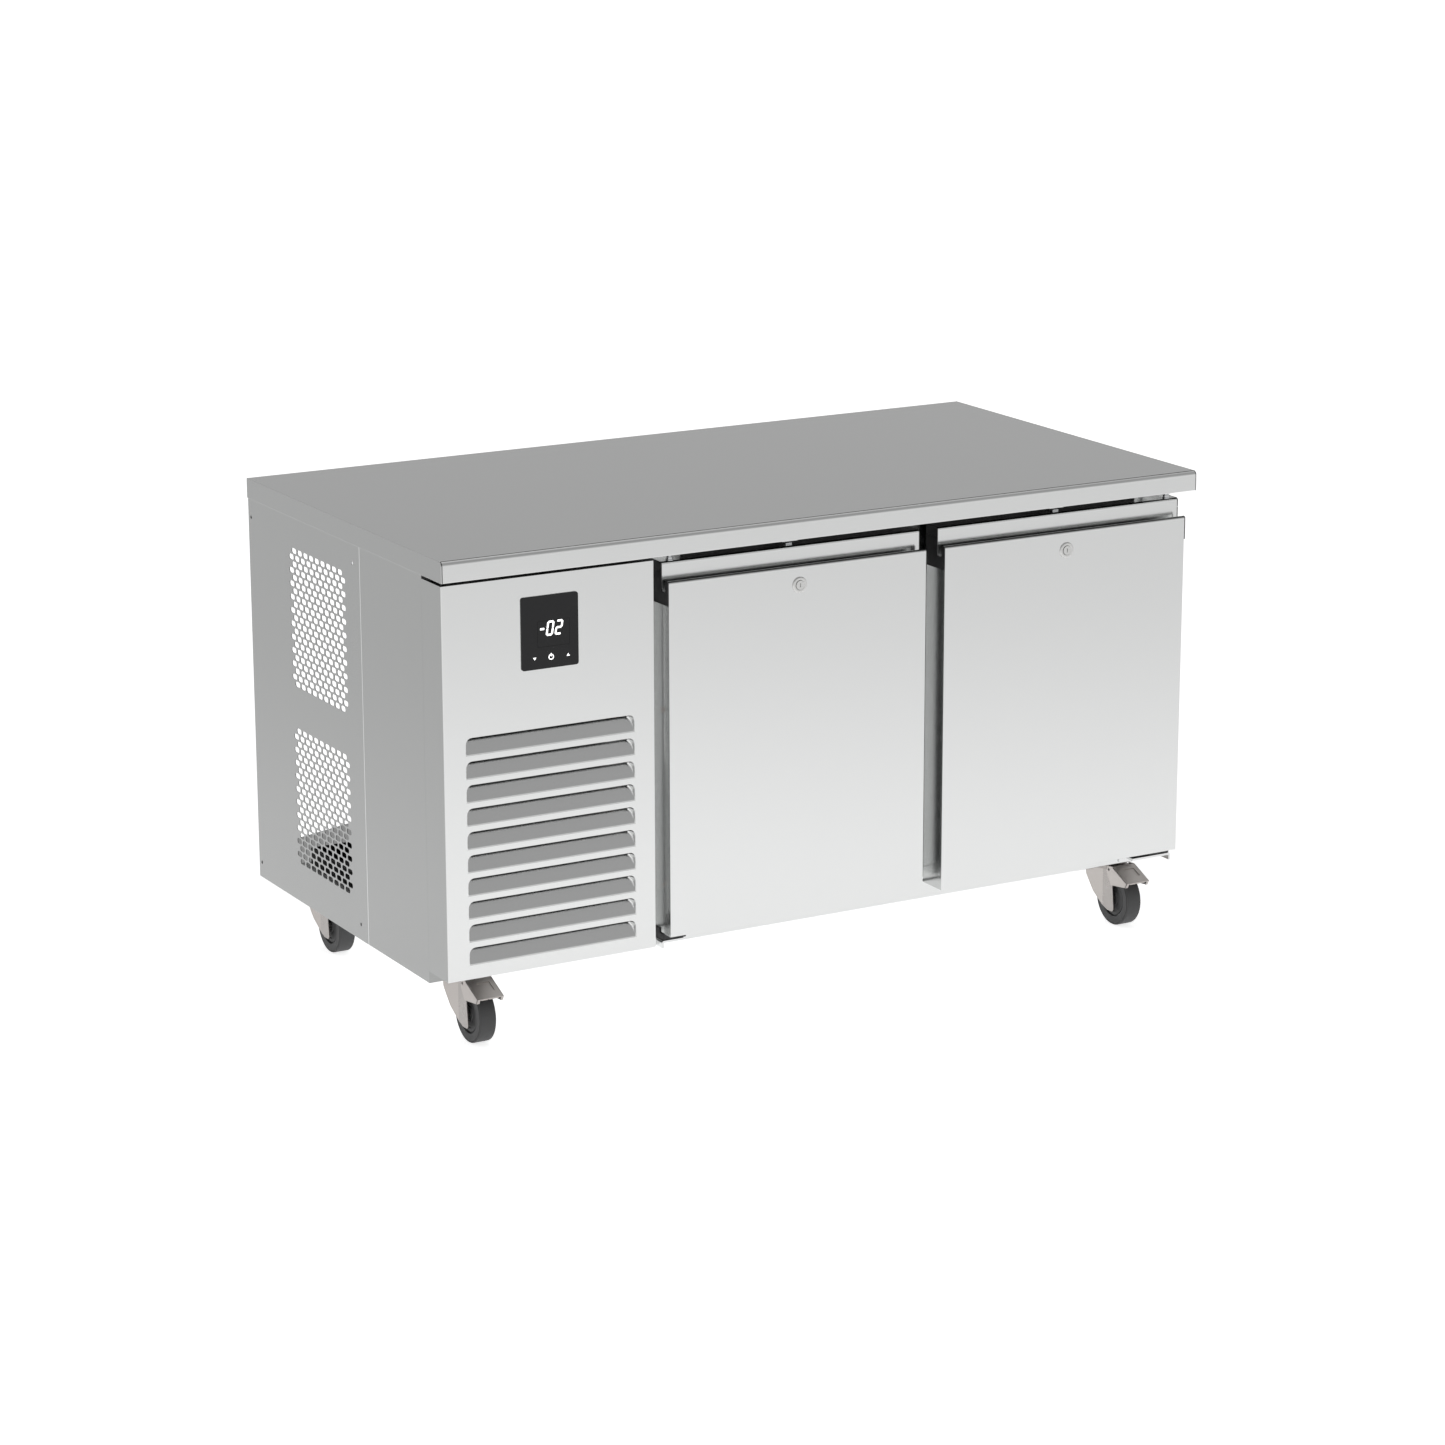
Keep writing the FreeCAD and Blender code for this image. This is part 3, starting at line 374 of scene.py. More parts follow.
class Piece:
    """One visible piece, built in millimetres from rounded prisms, turned profiles and sheets."""

    def __init__(self, name, body, material, slot, *nodes):
        self.name, self.body, self.slot, self.nodes = name, body, slot, nodes
        self.materials = [material]
        self.bm = bmesh.new()

    def place(self, axis, a, b, along):
        """New vertex from its two section coordinates and its place along the axis."""
        coords = [0.0, 0.0, 0.0]
        for index, value in zip(AXES[axis], (a, b, along)):
            coords[index] = value
        return self.bm.verts.new(coords)

    def index_of(self, material):
        if material not in self.materials:
            self.materials.append(material)
        return self.materials.index(material)

    def paint(self, material, faces, chosen):
        """Another material on the faces whose normal is chosen."""
        index = self.index_of(material)
        for face in faces:
            if chosen(face.normal):
                face.material_index = index

    def prism(self, axis, along, outer, holes=(), rim=0.0, hole_rim=0.0, rim_ends=(0, 1), material=None):
        """Section pushed along an axis. Rims are rounded at the ends named in rim_ends."""
        loops = [outer, *holes]
        flat = [p for loop in loops for p in loop]
        ends = [[self.place(axis, a, b, c) for a, b in flat] for c in along]
        if holes:
            fans = [t for t in tessellate_polygon([[Vector((a, b, 0)) for a, b in loop] for loop in loops])
                    if len(set(t)) == 3]
        else:
            fans = [tuple(range(len(flat)))]
        faces = [self.bm.faces.new([end[i] for i in fan]) for end in ends for fan in fans]
        rounded, start = {}, 0
        for number, loop in enumerate(loops):
            radius = hole_rim if number else rim
            for i in range(len(loop)):
                a, b = start + i, start + (i + 1) % len(loop)
                faces.append(self.bm.faces.new((ends[0][a], ends[0][b], ends[1][b], ends[1][a])))
                if radius:
                    rounded.setdefault(radius, []).extend(
                        self.bm.edges.get((ends[e][a], ends[e][b])) for e in rim_ends)
            start += len(loop)
        bmesh.ops.recalc_face_normals(self.bm, faces=faces)
        index = self.index_of(material or self.materials[0])
        for face in faces:
            face.material_index = index
        for radius, edges in rounded.items():
            bmesh.ops.bevel(self.bm, geom=edges, offset=radius, offset_type="OFFSET", segments=3,
                            profile=0.5, affect="EDGES", clamp_overlap=True, material=-1)
        return faces

    def lathe(self, axis, centre, profile, steps=48, ring=False):
        """(radius, along) points turned about an axis. A ring's profile closes on itself."""
        a0, b0 = (centre[k] for k in AXES[axis][:2])
        rows = []
        for radius, along in profile:
            around = circle((a0, b0), radius, steps) if radius > 1e-6 else [(a0, b0)]
            rows.append([self.place(axis, a, b, along) for a, b in around])
        pairs = list(zip(rows, rows[1:])) + ([(rows[-1], rows[0])] if ring else [])
        faces = []
        for one, two in pairs:
            for k in range(steps):
                corners = [one[k % len(one)], one[(k + 1) % len(one)],
                           two[(k + 1) % len(two)], two[k % len(two)]]
                corners = [c for i, c in enumerate(corners) if c is not corners[i - 1]]
                if len(corners) > 2:
                    faces.append(self.bm.faces.new(corners))
        bmesh.ops.recalc_face_normals(self.bm, faces=faces)

    def sheet(self, rows):
        """Grid of points (rows of equal length) as one surface."""
        verts = [[self.bm.verts.new(p) for p in row] for row in rows]
        for one, two in zip(verts, verts[1:]):
            for k in range(len(one) - 1):
                self.bm.faces.new((one[k], one[k + 1], two[k + 1], two[k]))

    def done(self, thickness=0.0, bevel=0.0, sharp=40.0):
        """Turns the mesh into an object with its materials, hangs it under its body and hides the CAD nodes
        it replaces.
        """
        mesh = bpy.data.meshes.new(self.name)
        bmesh.ops.scale(self.bm, vec=(mm(1), mm(1), mm(1)), verts=self.bm.verts)
        self.bm.to_mesh(mesh)
        self.bm.free()
        mesh.polygons.foreach_set("use_smooth", [True] * len(mesh.polygons))
        mesh.set_sharp_from_angle(angle=math.radians(sharp))
        for material in self.materials:
            mesh.materials.append(MATERIALS[material])
        piece = bpy.data.objects.new(self.name, mesh)
        bpy.context.scene.collection.objects.link(piece)
        if thickness:
            solid = piece.modifiers.new("thickness", "SOLIDIFY")
            solid.thickness, solid.offset, solid.use_even_offset = mm(thickness), 0.0, True
        if bevel:
            round_edges(piece, bevel)
        weighted = piece.modifiers.new("normals", "WEIGHTED_NORMAL")
        weighted.keep_sharp = True
        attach(piece, self.body)
        if self.nodes:
            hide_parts(*self.nodes)


EDGE_ANGLE, EDGE_STEPS = 35, 2  # degrees beyond which an edge is rounded, and its segments


def round_edges(obj, width):
    bevel = obj.modifiers.new("rounded", "BEVEL")
    bevel.limit_method, bevel.angle_limit = "ANGLE", math.radians(EDGE_ANGLE)
    bevel.width, bevel.segments, bevel.harden_normals = mm(width), EDGE_STEPS, True
    bevel.use_clamp_overlap = True


# ---- worktop
def make_worktop():
    """Folded sheet: rounded front edge, open corners at the front, hemmed underside."""
    low, high = span("worktop")
    sheet, edge_r, fold, gap, hem, inner_r, corner_rim = 1.2, 8.3, 1.4, 1.3, 18, 0.5, 0.45
    lip = 0.5  # how far the cheeks stay behind the front edge
    reflection_from, reflection_to = 0.9, 0.995  # upward part of the normal on the strip painted as a dark reflection line
    curve_y = low.y + edge_r
    top = Piece("worktop_sheet", "cabinet", "steel_x", "stainless", "worktop")
    end_in = sheet + gap
    profile = fillet([(high.y, high.z, fold), (low.y, high.z, edge_r), (low.y, low.z, fold),
                      (low.y + hem, low.z), (low.y + hem, low.z + sheet),
                      (low.y + sheet, low.z + sheet, inner_r),
                      (low.y + sheet, high.z - sheet, edge_r - sheet),
                      (high.y - sheet, high.z - sheet, inner_r), (high.y - sheet, low.z),
                      (high.y, low.z)], 8)
    faces = top.prism("x", (low.x + end_in, high.x - end_in), profile)
    # painted dark reflection along the rounded front edge
    top.paint("steel_painted_reflection", faces, lambda n: n.y < -0.1 and reflection_from < n.z < reflection_to)
    # painted shade on the back faces
    top.paint("steel_painted_shade", faces, lambda n: n.y > 0.9)
    ends = {e for f in faces for e in f.edges
            if len({round(v.co.x, 3) for v in e.verts}) == 1 and all(v.co.y < curve_y - 0.2 for v in e.verts)}
    bmesh.ops.bevel(top.bm, geom=list(ends), offset=corner_rim, segments=2, profile=0.5, affect="EDGES",
                    clamp_overlap=True)
    for side, inward in ((low.x, 1), (high.x, -1)):
        x0, x1, seam = side, side + inward * sheet, side + inward * end_in
        hook = fillet([(x0, low.z, inner_r), (x0, high.z, fold), (seam, high.z), (seam, high.z - sheet),
                       (x1, high.z - sheet, 0.2), (x1, low.z)])
        faces = top.prism("y", (curve_y, high.y - 0.05), hook)
        cheek = fillet([(curve_y + 0.01, low.z), (low.y + lip, low.z, 0.6),
                        (low.y + lip, high.z - 0.4, edge_r - 0.4), (curve_y + 0.01, high.z - 0.4)], 8)
        faces += top.prism("x", sorted((x0, x1)), cheek)
        # painted shade on the side faces of the hooks and cheeks
        top.paint("steel_painted_shade", faces, lambda n: abs(n.x) > 0.99)
    top.done()


# ---- casing of the machine compartment
SLOT_W, SLOT_H, SLOT_R, SLOT_PITCH, ROW_PITCH, ROWS = 18.6, 9.7, 4.6, 23.8, 11.935, 21
GRID_DROPS = (58.7, 382.0)  # first rows below the top of the panel
GRID_FIRST = 81.85  # first slot from the panel's front edge
SLOTS_IN_ROW = 9  # in the even rows; the odd rows have one more
FIXING_R, FIXING_IN, FIXING_UP = 3.0, (30.05, 11.6), (28.2, 32.8)  # from front and back, foot and top


def perforations(front, top):
    """Two fields of round-ended slots, in rows that step by half a pitch."""
    loops = []
    for drop in GRID_DROPS:
        for row in range(ROWS):
            long_row = row % 2
            first = front + GRID_FIRST - long_row * SLOT_PITCH / 2
            z = top - drop - row * ROW_PITCH
            for y in (first + k * SLOT_PITCH for k in range(SLOTS_IN_ROW + long_row)):
                loops.append(rectangle((y - SLOT_W / 2, y + SLOT_W / 2), (z - SLOT_H / 2, z + SLOT_H / 2),
                                       SLOT_R))
    return loops


def make_side_panels():
    """Plain front panel, and perforated rear panel with a bright front edge. Both sheets carry painted shade;
    the rolled front edge keeps the plain steel.
    """
    sheet, flange, play = 1.0, 29.5, 0.02
    low, high = span("side_panel_plain")
    plain = Piece("side_panel_plain_sheet", "cabinet", "steel_painted_shade", "stainless", "side_panel_plain")
    corner = fillet([(low.x, high.y), (low.x, low.y, 0.8), (low.x + flange, low.y),
                     (low.x + flange, low.y + sheet), (low.x + sheet, low.y + sheet),
                     (low.x + sheet, high.y)])
    plain.prism("z", (low.z, high.z), corner)
    plain.done(bevel=0.3)
    low, high = span("side_panel_perforated")
    panel = Piece("side_panel_perforated_sheet", "cabinet", "steel_painted_shade", "stainless",
                  "side_panel_perforated")
    holes = perforations(low.y, high.z)
    holes += [circle((y, z), FIXING_R, 16) for y in (low.y + FIXING_IN[0], high.y - FIXING_IN[1])
              for z in (low.z + FIXING_UP[0], high.z - FIXING_UP[1])]
    roll, turn = 1.2, 7.0  # radius of the front edge, and how far it turns inwards
    panel.prism("x", (low.x, low.x + sheet), rectangle((low.y + roll, high.y), (low.z, high.z)), holes)
    panel.prism("z", (low.z, high.z), fillet(
        [(low.x, low.y + roll), (low.x, low.y, roll), (low.x + turn, low.y), (low.x + turn, low.y + sheet),
         (low.x + sheet, low.y + sheet, 0.1), (low.x + sheet, low.y + roll)]), material="steel_y")
    panel.prism("y", (high.y - sheet, high.y - play),
                rectangle((low.x + sheet + play, low.x + flange), (low.z, high.z)))
    panel.done()


LOUVRE_H, LOUVRE_PITCH, LOUVRE_COUNT, LOUVRE_R = 29.7, 39.8, 10, 11.0
LOUVRE_MARGIN = (39.75, 38.2)  # from the cover's left and right edges
LOUVRE_FIRST = 382.4  # lower edge of the highest louvre above the cover's lower edge
LEAN, CHEEK, BLADE_GAP = 13.0, 7.5, 4.5  # depth at the top, width of a cheek, opening above the blade
CHEEK_SWELL, CHEEK_BLEND, BLADE_SINK, BLADE_ROWS = 0.55, 0.8, 0.5, 12
WINDOW_IN = 4  # the controller's window, inwards from the bezel's outline
BLADE_STEPS = (0, 0.5, 1.5, 3, 4.5, 6, 7.5, 9, 10.5, 12, 15, 25, 60)  # grid lines in from each end


def soft_minimum(one, two, blend):
    """The smaller of two values, rounded over where they are about equal."""
    lower = -blend * math.log(math.exp(-one / blend) + math.exp(-two / blend))
    return lower + blend * math.log(2) * math.exp(-abs(one - two) / blend)


def louvre_blade(cover, left, right, bottom, face):
    """Pressed louvre: a blade leaning in from its lower edge, rounded at both ends."""
    rise = LOUVRE_H - BLADE_GAP
    rows = []
    for step in range(BLADE_ROWS + 1):
        share = step / BLADE_ROWS
        z = bottom + rise * share
        over = max(0.0, z - (bottom + LOUVRE_H - LOUVRE_R))
        inset = LOUVRE_R - math.sqrt(max(0.0, LOUVRE_R ** 2 - over ** 2))
        start, end = left + inset, right - inset
        xs = [start + d for d in BLADE_STEPS] + [(start + end) / 2] + [end - d for d in reversed(BLADE_STEPS)]
        row = []
        for x in xs:
            rim = min(x - start, end - x)
            lean = LEAN * share
            cheek = LEAN * (rim / CHEEK) ** CHEEK_SWELL if rim > 0 else 0.0
            depth = soft_minimum(lean, cheek, CHEEK_BLEND)
            row.append((x, face + BLADE_SINK + max(0.0, depth), z))
        rows.append(row)
    cover.sheet(rows)


def make_front_cover():
    """Folded cover with its slots and window, and the louvre blades behind the slots."""
    low, high = span("unit_front_cover")
    sheet, fold = 1.0, 1.5
    cover = Piece("unit_front_cover_sheet", "cabinet", "steel_x", "stainless", "unit_front_cover")
    left, right = low.x + LOUVRE_MARGIN[0], high.x - LOUVRE_MARGIN[1]
    lows = [low.z + LOUVRE_FIRST - k * LOUVRE_PITCH for k in range(LOUVRE_COUNT)]
    slots = [fillet([(left, z), (right, z), (right, z + LOUVRE_H, LOUVRE_R), (left, z + LOUVRE_H, LOUVRE_R)])
             for z in lows]
    cover.prism("y", (low.y, low.y + sheet), rectangle((low.x + fold, high.x - fold), (low.z, high.z)),
                [front_area(*span("controller_bezel"), WINDOW_IN)] + slots, hole_rim=0.35, rim_ends=(0,))
    for x0, inward in ((low.x, 1), (high.x, -1)):
        corner = fillet([(x0 + inward * fold, low.y), (x0, low.y, fold), (x0, high.y),
                         (x0 + inward * sheet, high.y), (x0 + inward * sheet, low.y + sheet, 0.4),
                         (x0 + inward * fold, low.y + sheet)])
        faces = cover.prism("z", (low.z, high.z), corner)
        if inward > 0:
            # painted shade on the left return
            cover.paint("steel_painted_shade", faces, lambda n: n.x < -0.99)
    for z in (low.z, high.z - sheet):
        cover.prism("z", (z + 0.01, z + sheet - 0.01),
                    rectangle((low.x + sheet, high.x - sheet), (low.y + sheet, high.y - 0.05)))
    cover.done()
    blades = Piece("unit_front_cover_louvres", "cabinet", "steel_blade", "stainless")
    for z in lows:
        louvre_blade(blades, left, right, z, low.y)
    blades.done(thickness=0.9, sharp=60)


DIGIT_HEIGHT, DIGIT_WIDTH, DIGIT_BAR, DIGIT_LEAN = 21.8, 0.45, 0.15, 0.16  # the last three as shares
MARK_RAISED, UPRIGHT_RAISED, POWER_RAISED = 0.15, 0.13, 0.2
# places on the display, all from the bezel's lower left corner
DIGITS_UP, FIRST_IN, SECOND_IN = 56.2, 45.6, 61.8
DASH_IN, DASH_UP = (33.8, 41.6), (65.4, 68.8)
ICONS_UP, ICONS_IN = 18.6, (23.3, 53.6, 85.0)
PANE_IN, PANE_UP, PANE_LINE = (28.8, 88.0), (36.6, 80.7), 0.5
ARROW_HALF, ARROW_POINT, ARROW_BASE = 3.0, 2.5, 2.0


def segment_digit(piece, origin, height, lit, y):
    """Seven-segment numeral leaning to the right, as on any fridge display."""
    width, bar, lean = height * DIGIT_WIDTH, height * DIGIT_BAR, DIGIT_LEAN
    half = height / 2
    bars = {"top": ((0, height), (width, height)), "middle": ((0, half), (width, half)),
            "bottom": ((0, 0), (width, 0)), "upper_left": ((0, half), (0, height)),
            "upper_right": ((width, half), (width, height)), "lower_left": ((0, 0), (0, half)),
            "lower_right": ((width, 0), (width, half))}
    for name in lit:
        (a0, b0), (a1, b1) = bars[name]
        across, up = (-bar * 0.1, bar / 2) if b0 == b1 else (bar / 2, -bar * 0.1)
        raised = MARK_RAISED if b0 == b1 else UPRIGHT_RAISED
        corners = [(a0 - across, b0 - up), (a1 + across, b0 - up), (a1 + across, b1 + up),
                   (a0 - across, b1 + up)]
        outline = fillet([(origin[0] + a + lean * b, origin[1] + b, bar * 0.3) for a, b in corners], 4)
        piece.prism("y", (y - raised, y), outline)


def make_controller():
    """Dark bezel with a window line and lit marks, and the vented housing behind it."""
    low, high = span("controller_bezel")
    face = low.y
    bezel = Piece("controller_bezel_face", "cabinet", "bezel", "black_plastic", "controller_bezel")
    bezel.prism("y", (face, high.y), front_area(low, high, radius=4.5), rim=0.6, rim_ends=(0,))
    bezel.done()
    frame_line = Piece("controller_window_line", "cabinet", "bezel_line", "black_plastic")
    pane = [[low.x + d for d in PANE_IN], [low.z + d for d in PANE_UP]]
    inner = [(a + PANE_LINE, b - PANE_LINE) for a, b in pane]
    frame_line.prism("y", (face - 0.06, face + 0.05), rectangle(*pane, 1.5), [rectangle(*inner, 1.0)])
    frame_line.done()
    marks = Piece("controller_digits", "cabinet", "digits", "black_plastic")
    digit_z = low.z + DIGITS_UP
    raised = (face - MARK_RAISED, face)
    marks.prism("y", raised, rectangle([low.x + d for d in DASH_IN], [low.z + d for d in DASH_UP], 1.0))
    segment_digit(marks, (low.x + FIRST_IN, digit_z), DIGIT_HEIGHT,
                  ("top", "bottom", "upper_left", "upper_right", "lower_left", "lower_right"), face)
    segment_digit(marks, (low.x + SECOND_IN, digit_z), DIGIT_HEIGHT,
                  ("top", "bottom", "middle", "upper_right", "lower_left"), face)
    icon_z = low.z + ICONS_UP
    left, centre, right = (low.x + d for d in ICONS_IN)
    for x, up in ((left, -1), (right, 1)):
        base_z = icon_z - up * ARROW_BASE
        arrow = fillet([(x - ARROW_HALF, base_z, 0.2), (x + ARROW_HALF, base_z, 0.2),
                        (x, icon_z + up * ARROW_POINT, 0.2)], 3)
        marks.prism("y", raised, arrow)
    ring = [circle((centre, icon_z), r, 32) for r in (4.9, 3.3)]
    marks.prism("y", raised, ring[0], [ring[1]])
    marks.prism("y", (face - POWER_RAISED, face),
                rectangle((centre - 0.8, centre + 0.8), (icon_z + 1, icon_z + 6.2), 0.5))
    marks.done()
    low, high = span("controller_housing")
    housing = Piece("controller_housing_box", "cabinet", "black_plastic", "black_plastic",
                    "controller_housing")
    housing.prism("y", (low.y, high.y), front_area(low, high, radius=3), rim=1.5, rim_ends=(1,))
    vents_up, vent_high, vent_in = range(20, 91, 14), 4, 15
    for z in (low.z + up for up in vents_up):
        housing.prism("y", (high.y - 0.6, high.y + 0.29),
                      rectangle((low.x + vent_in, high.x - vent_in), (z, z + vent_high), 1.5))
    housing.done()


def make_rear_panel():
    """Low rear panel with a sloping top, its inner face with a painted glow, and the cable gland."""
    low, high = span("unit_rear_panel")
    drop, corner_r, gland_r = 47.5, 2, 9.1
    panel = Piece("unit_rear_panel_sheet", "cabinet", "galvanised", "galvanised", "unit_rear_panel")
    g_low, g_high = span("cord_gland")
    gland = ((g_low.x + g_high.x) / 2, (g_low.z + g_high.z) / 2)
    outline = fillet([(low.x, low.z, corner_r), (high.x, low.z, corner_r), (high.x, high.z, corner_r),
                      (low.x, high.z - drop, corner_r)], 3)
    faces = panel.prism("y", (low.y, high.y), outline, [circle(gland, gland_r, 32)])
    # painted glow on the inner face
    panel.paint("rear_painted_glow", faces, lambda n: n.y < -0.99)
    panel.done(bevel=0.25)
    grommet = Piece("cord_gland_grommet", "cabinet", "black_plastic", "black_plastic", "cord_gland")
    front, back = g_low.y, g_high.y
    bore, neck, flange = 4.25, 9, 13
    profile = [(bore, front + 0.6), (4.8, front), (8.4, front), (neck, front + 0.6), (neck, back - 11.6),
               (12.4, back - 11.4), (flange, back - 10.8), (flange, back - 4.4), (12.4, back - 3.7),
               (neck, back - 3.6), (neck, back - 1.2), (8.2, back), (5.2, back), (bore, back - 1.0)]
    grommet.lathe("y", (gland[0], 0, gland[1]), profile, ring=True)
    grommet.done()


def make_bottom_rail():
    """Channel under the doors, open towards the back."""
    low, high = span("bottom_rail")
    rail = Piece("bottom_rail_channel", "cabinet", "steel_x", "stainless", "bottom_rail")
    sheet, fold, inner_r, play = 1.5, 1.6, 0.3, 0.05
    back = high.y - play
    rail.prism("x", (low.x + 0.3, high.x - 0.3), fillet(
        [(low.y, low.z, fold), (low.y, high.z, fold), (back, high.z), (back, high.z - sheet),
         (low.y + sheet, high.z - sheet, inner_r), (low.y + sheet, low.z + sheet, inner_r),
         (back, low.z + sheet), (back, low.z)]))
    rail.done(bevel=0.3)


def make_top_gap_shade():
    """Dark strip on the body's front frame, in the gap between the doors and the worktop: painted shade for
    the shadow in that gap.
    """
    shell_low, _ = span("outer_shell")
    left, right = span("door_left_skin"), span("door_right_skin")
    strip = Piece("body_top_gap_shade", "cabinet", "gap_painted_shade", "black_plastic")
    bracket, deep, down = 62.0, 2.4, 1.0
    across = (left[0].x + bracket, right[1].x - bracket)
    upwards = (left[1].z + down, span("worktop")[0].z - 0.05)
    strip.prism("y", (shell_low.y - deep, shell_low.y - 0.05), rectangle(across, upwards), rim=0.5,
                rim_ends=(0,))
    strip.done()


# ---- doors
LIP, LIP_DROP, FLOOR_DROP, WALL_IN, CAP_DROP = 9.45, 29.4, 49.0, 23.65, 71.2
CAP_LINE_DROP, CAP_LINE = 16.2, 0.8  # joint line across the end caps, below the top, and its width
DOOR_TOP_R = 5.0
HINGE_IN, HINGE_BACK = 19.0, 31.95  # hinge axis from the door's outer side and from its face
GASKET_IN, GASKET_UP = 18, 17  # raised field of the liner, inwards from the gasket's outline
# gasket layers: inset of the outline, width of the ring, rounding
GASKET_FOOT, GASKET_NECK, GASKET_HEAD = (2.5, 7.0, 1.2), (4.5, 3.0, 0.0), (0.0, 12.0, 1.2)
TOUCH = 0.02  # thin gap that keeps neighbouring surfaces apart


def door_corners(face, back, bottom, top):
    """Corners of the door's side outline: face, rolled lip, finger groove, rounded top edge."""
    lip_top, floor, wall = top - LIP_DROP, top - FLOOR_DROP, face + WALL_IN
    roll = LIP / 2 - 0.01
    return [(back, bottom), (face, bottom, 1.0), (face, lip_top, roll), (face + LIP, lip_top, roll),
            (face + LIP, floor, 1.0), (wall, floor, 2.0), (wall, top, DOOR_TOP_R), (back, top)]


def make_door(side):
    """Folded skin with its finger groove, pressed liner, gasket, end caps and bush."""
    body, name = "door_" + side, "door_%s_" % side
    low, high = span(name + "skin")
    back = high.y - 0.4
    skin = Piece(name + "skin_sheet", body, "steel_x", "stainless", name + "skin")
    skin.prism("x", (low.x, high.x), fillet(door_corners(low.y, back, low.z, high.z), 8), rim=1.1)
    skin.bm.normal_update()
    reflection_from, reflection_to = 0.5, 0.97  # upward part of the normal on the strips painted as dark reflection lines
    # painted dark reflection on the rounded edges
    skin.paint("steel_painted_reflection", skin.bm.faces, lambda n: reflection_from < n.z < reflection_to and n.y < -0.1)
    skin.done(sharp=35)

    l_low, l_high = span(name + "liner")
    f_low, f_high = span(name + "gasket")
    liner = Piece(name + "liner_pan", body, "steel_z", "stainless", name + "liner")
    liner.prism("y", (l_low.y, high.y), front_area(l_low, l_high), rim=0.3, rim_ends=(1,))
    field = rectangle((f_low.x + GASKET_IN, f_high.x - GASKET_IN),
                      (f_low.z + GASKET_UP, f_high.z - GASKET_UP), 12)
    liner.prism("y", (high.y - 0.2, l_high.y), field, rim=4.0, rim_ends=(1,))
    liner.done()

    seal = Piece(name + "gasket_seal", body, "gasket", "gasket", name + "gasket")
    levels = (f_low.y, f_low.y + 4, f_low.y + 6, f_high.y)
    for number, (inset, wide, rim) in enumerate((GASKET_FOOT, GASKET_NECK, GASKET_HEAD)):
        seal.prism("y", levels[number:number + 2], front_area(f_low, f_high, inset, 2.5),
                   [front_area(f_low, f_high, inset + wide, 1.0)], rim=rim, hole_rim=rim)
    seal.done()

    make_end_caps(side, low, high, back)
    hinge_x = low.x + HINGE_IN if side == "left" else high.x - HINGE_IN
    bush = Piece(name + "upper_bush", body, "bright_steel", "bright_steel")
    z, bore = high.z, 4.15
    profile = [(bore, z + TOUCH), (6.8, z + TOUCH), (6.8, z + 1.4), (6.4, z + 1.8), (5.6, z + 2.0),
               (5.4, z + 5.6), (5.0, z + 6.0), (bore, z + 6.0)]
    bush.lathe("z", (hinge_x, low.y + HINGE_BACK, 0), profile, ring=True)
    bush.done(sharp=30)


def make_end_caps(side, low, high, back):
    """Black mouldings that close the ends of the grip, in two parts, and the shoe below."""
    body, name = "door_" + side, "door_%s_" % side
    c_low, c_high = span(name + "end_caps")
    caps = Piece(name + "end_cap_mouldings", body, "black_plastic", "black_plastic", name + "end_caps")
    cap_z, line_z, wall_y = high.z - CAP_DROP, high.z - CAP_LINE_DROP, low.y + WALL_IN
    whole = door_corners(low.y, back, cap_z, high.z)
    lower = whole[:-2] + [(wall_y, line_z - CAP_LINE / 2), (back, line_z - CAP_LINE / 2)]
    upper = [(back, line_z + CAP_LINE / 2), (wall_y, line_z + CAP_LINE / 2), (wall_y, high.z, DOOR_TOP_R),
             (back, high.z)]
    for x in ((c_low.x, low.x - TOUCH), (high.x + TOUCH, c_high.x)):
        outside = (0,) if x[0] < low.x else (1,)
        for outline in (lower, upper):
            caps.prism("x", x, fillet(outline, 8), rim=0.35, rim_ends=outside)
    make_shoe(caps, side, low, high, c_low.z)
    caps.done()


SHOE_OUT, SHOE_IN, SHOE_FRONT, SHOE_BACK, STEP_IN, STEP_FRONT, STEP_HIGH = 21, 24, 9, 22, 19.2, 4, 8


def make_shoe(caps, side, low, high, bottom):
    """Stepped black bearing block under the hinge corner; sizes from the hinge axis."""
    outward, edge = (-1, low.x) if side == "left" else (1, high.x)
    hinge_x = edge - outward * HINGE_IN
    hinge_y = low.y + HINGE_BACK
    x = sorted((hinge_x + outward * SHOE_OUT, hinge_x - outward * SHOE_IN))
    top = low.z - TOUCH
    caps.prism("z", (bottom, top), rectangle(x, (hinge_y - SHOE_FRONT, hinge_y + SHOE_BACK), 2.0), rim=0.5)
    step = sorted((hinge_x + outward * SHOE_OUT, hinge_x + outward * STEP_IN))
    caps.prism("z", (top, top + STEP_HIGH),
               rectangle(step, (hinge_y + STEP_FRONT, hinge_y + SHOE_BACK), 0.6), rim=0.3)


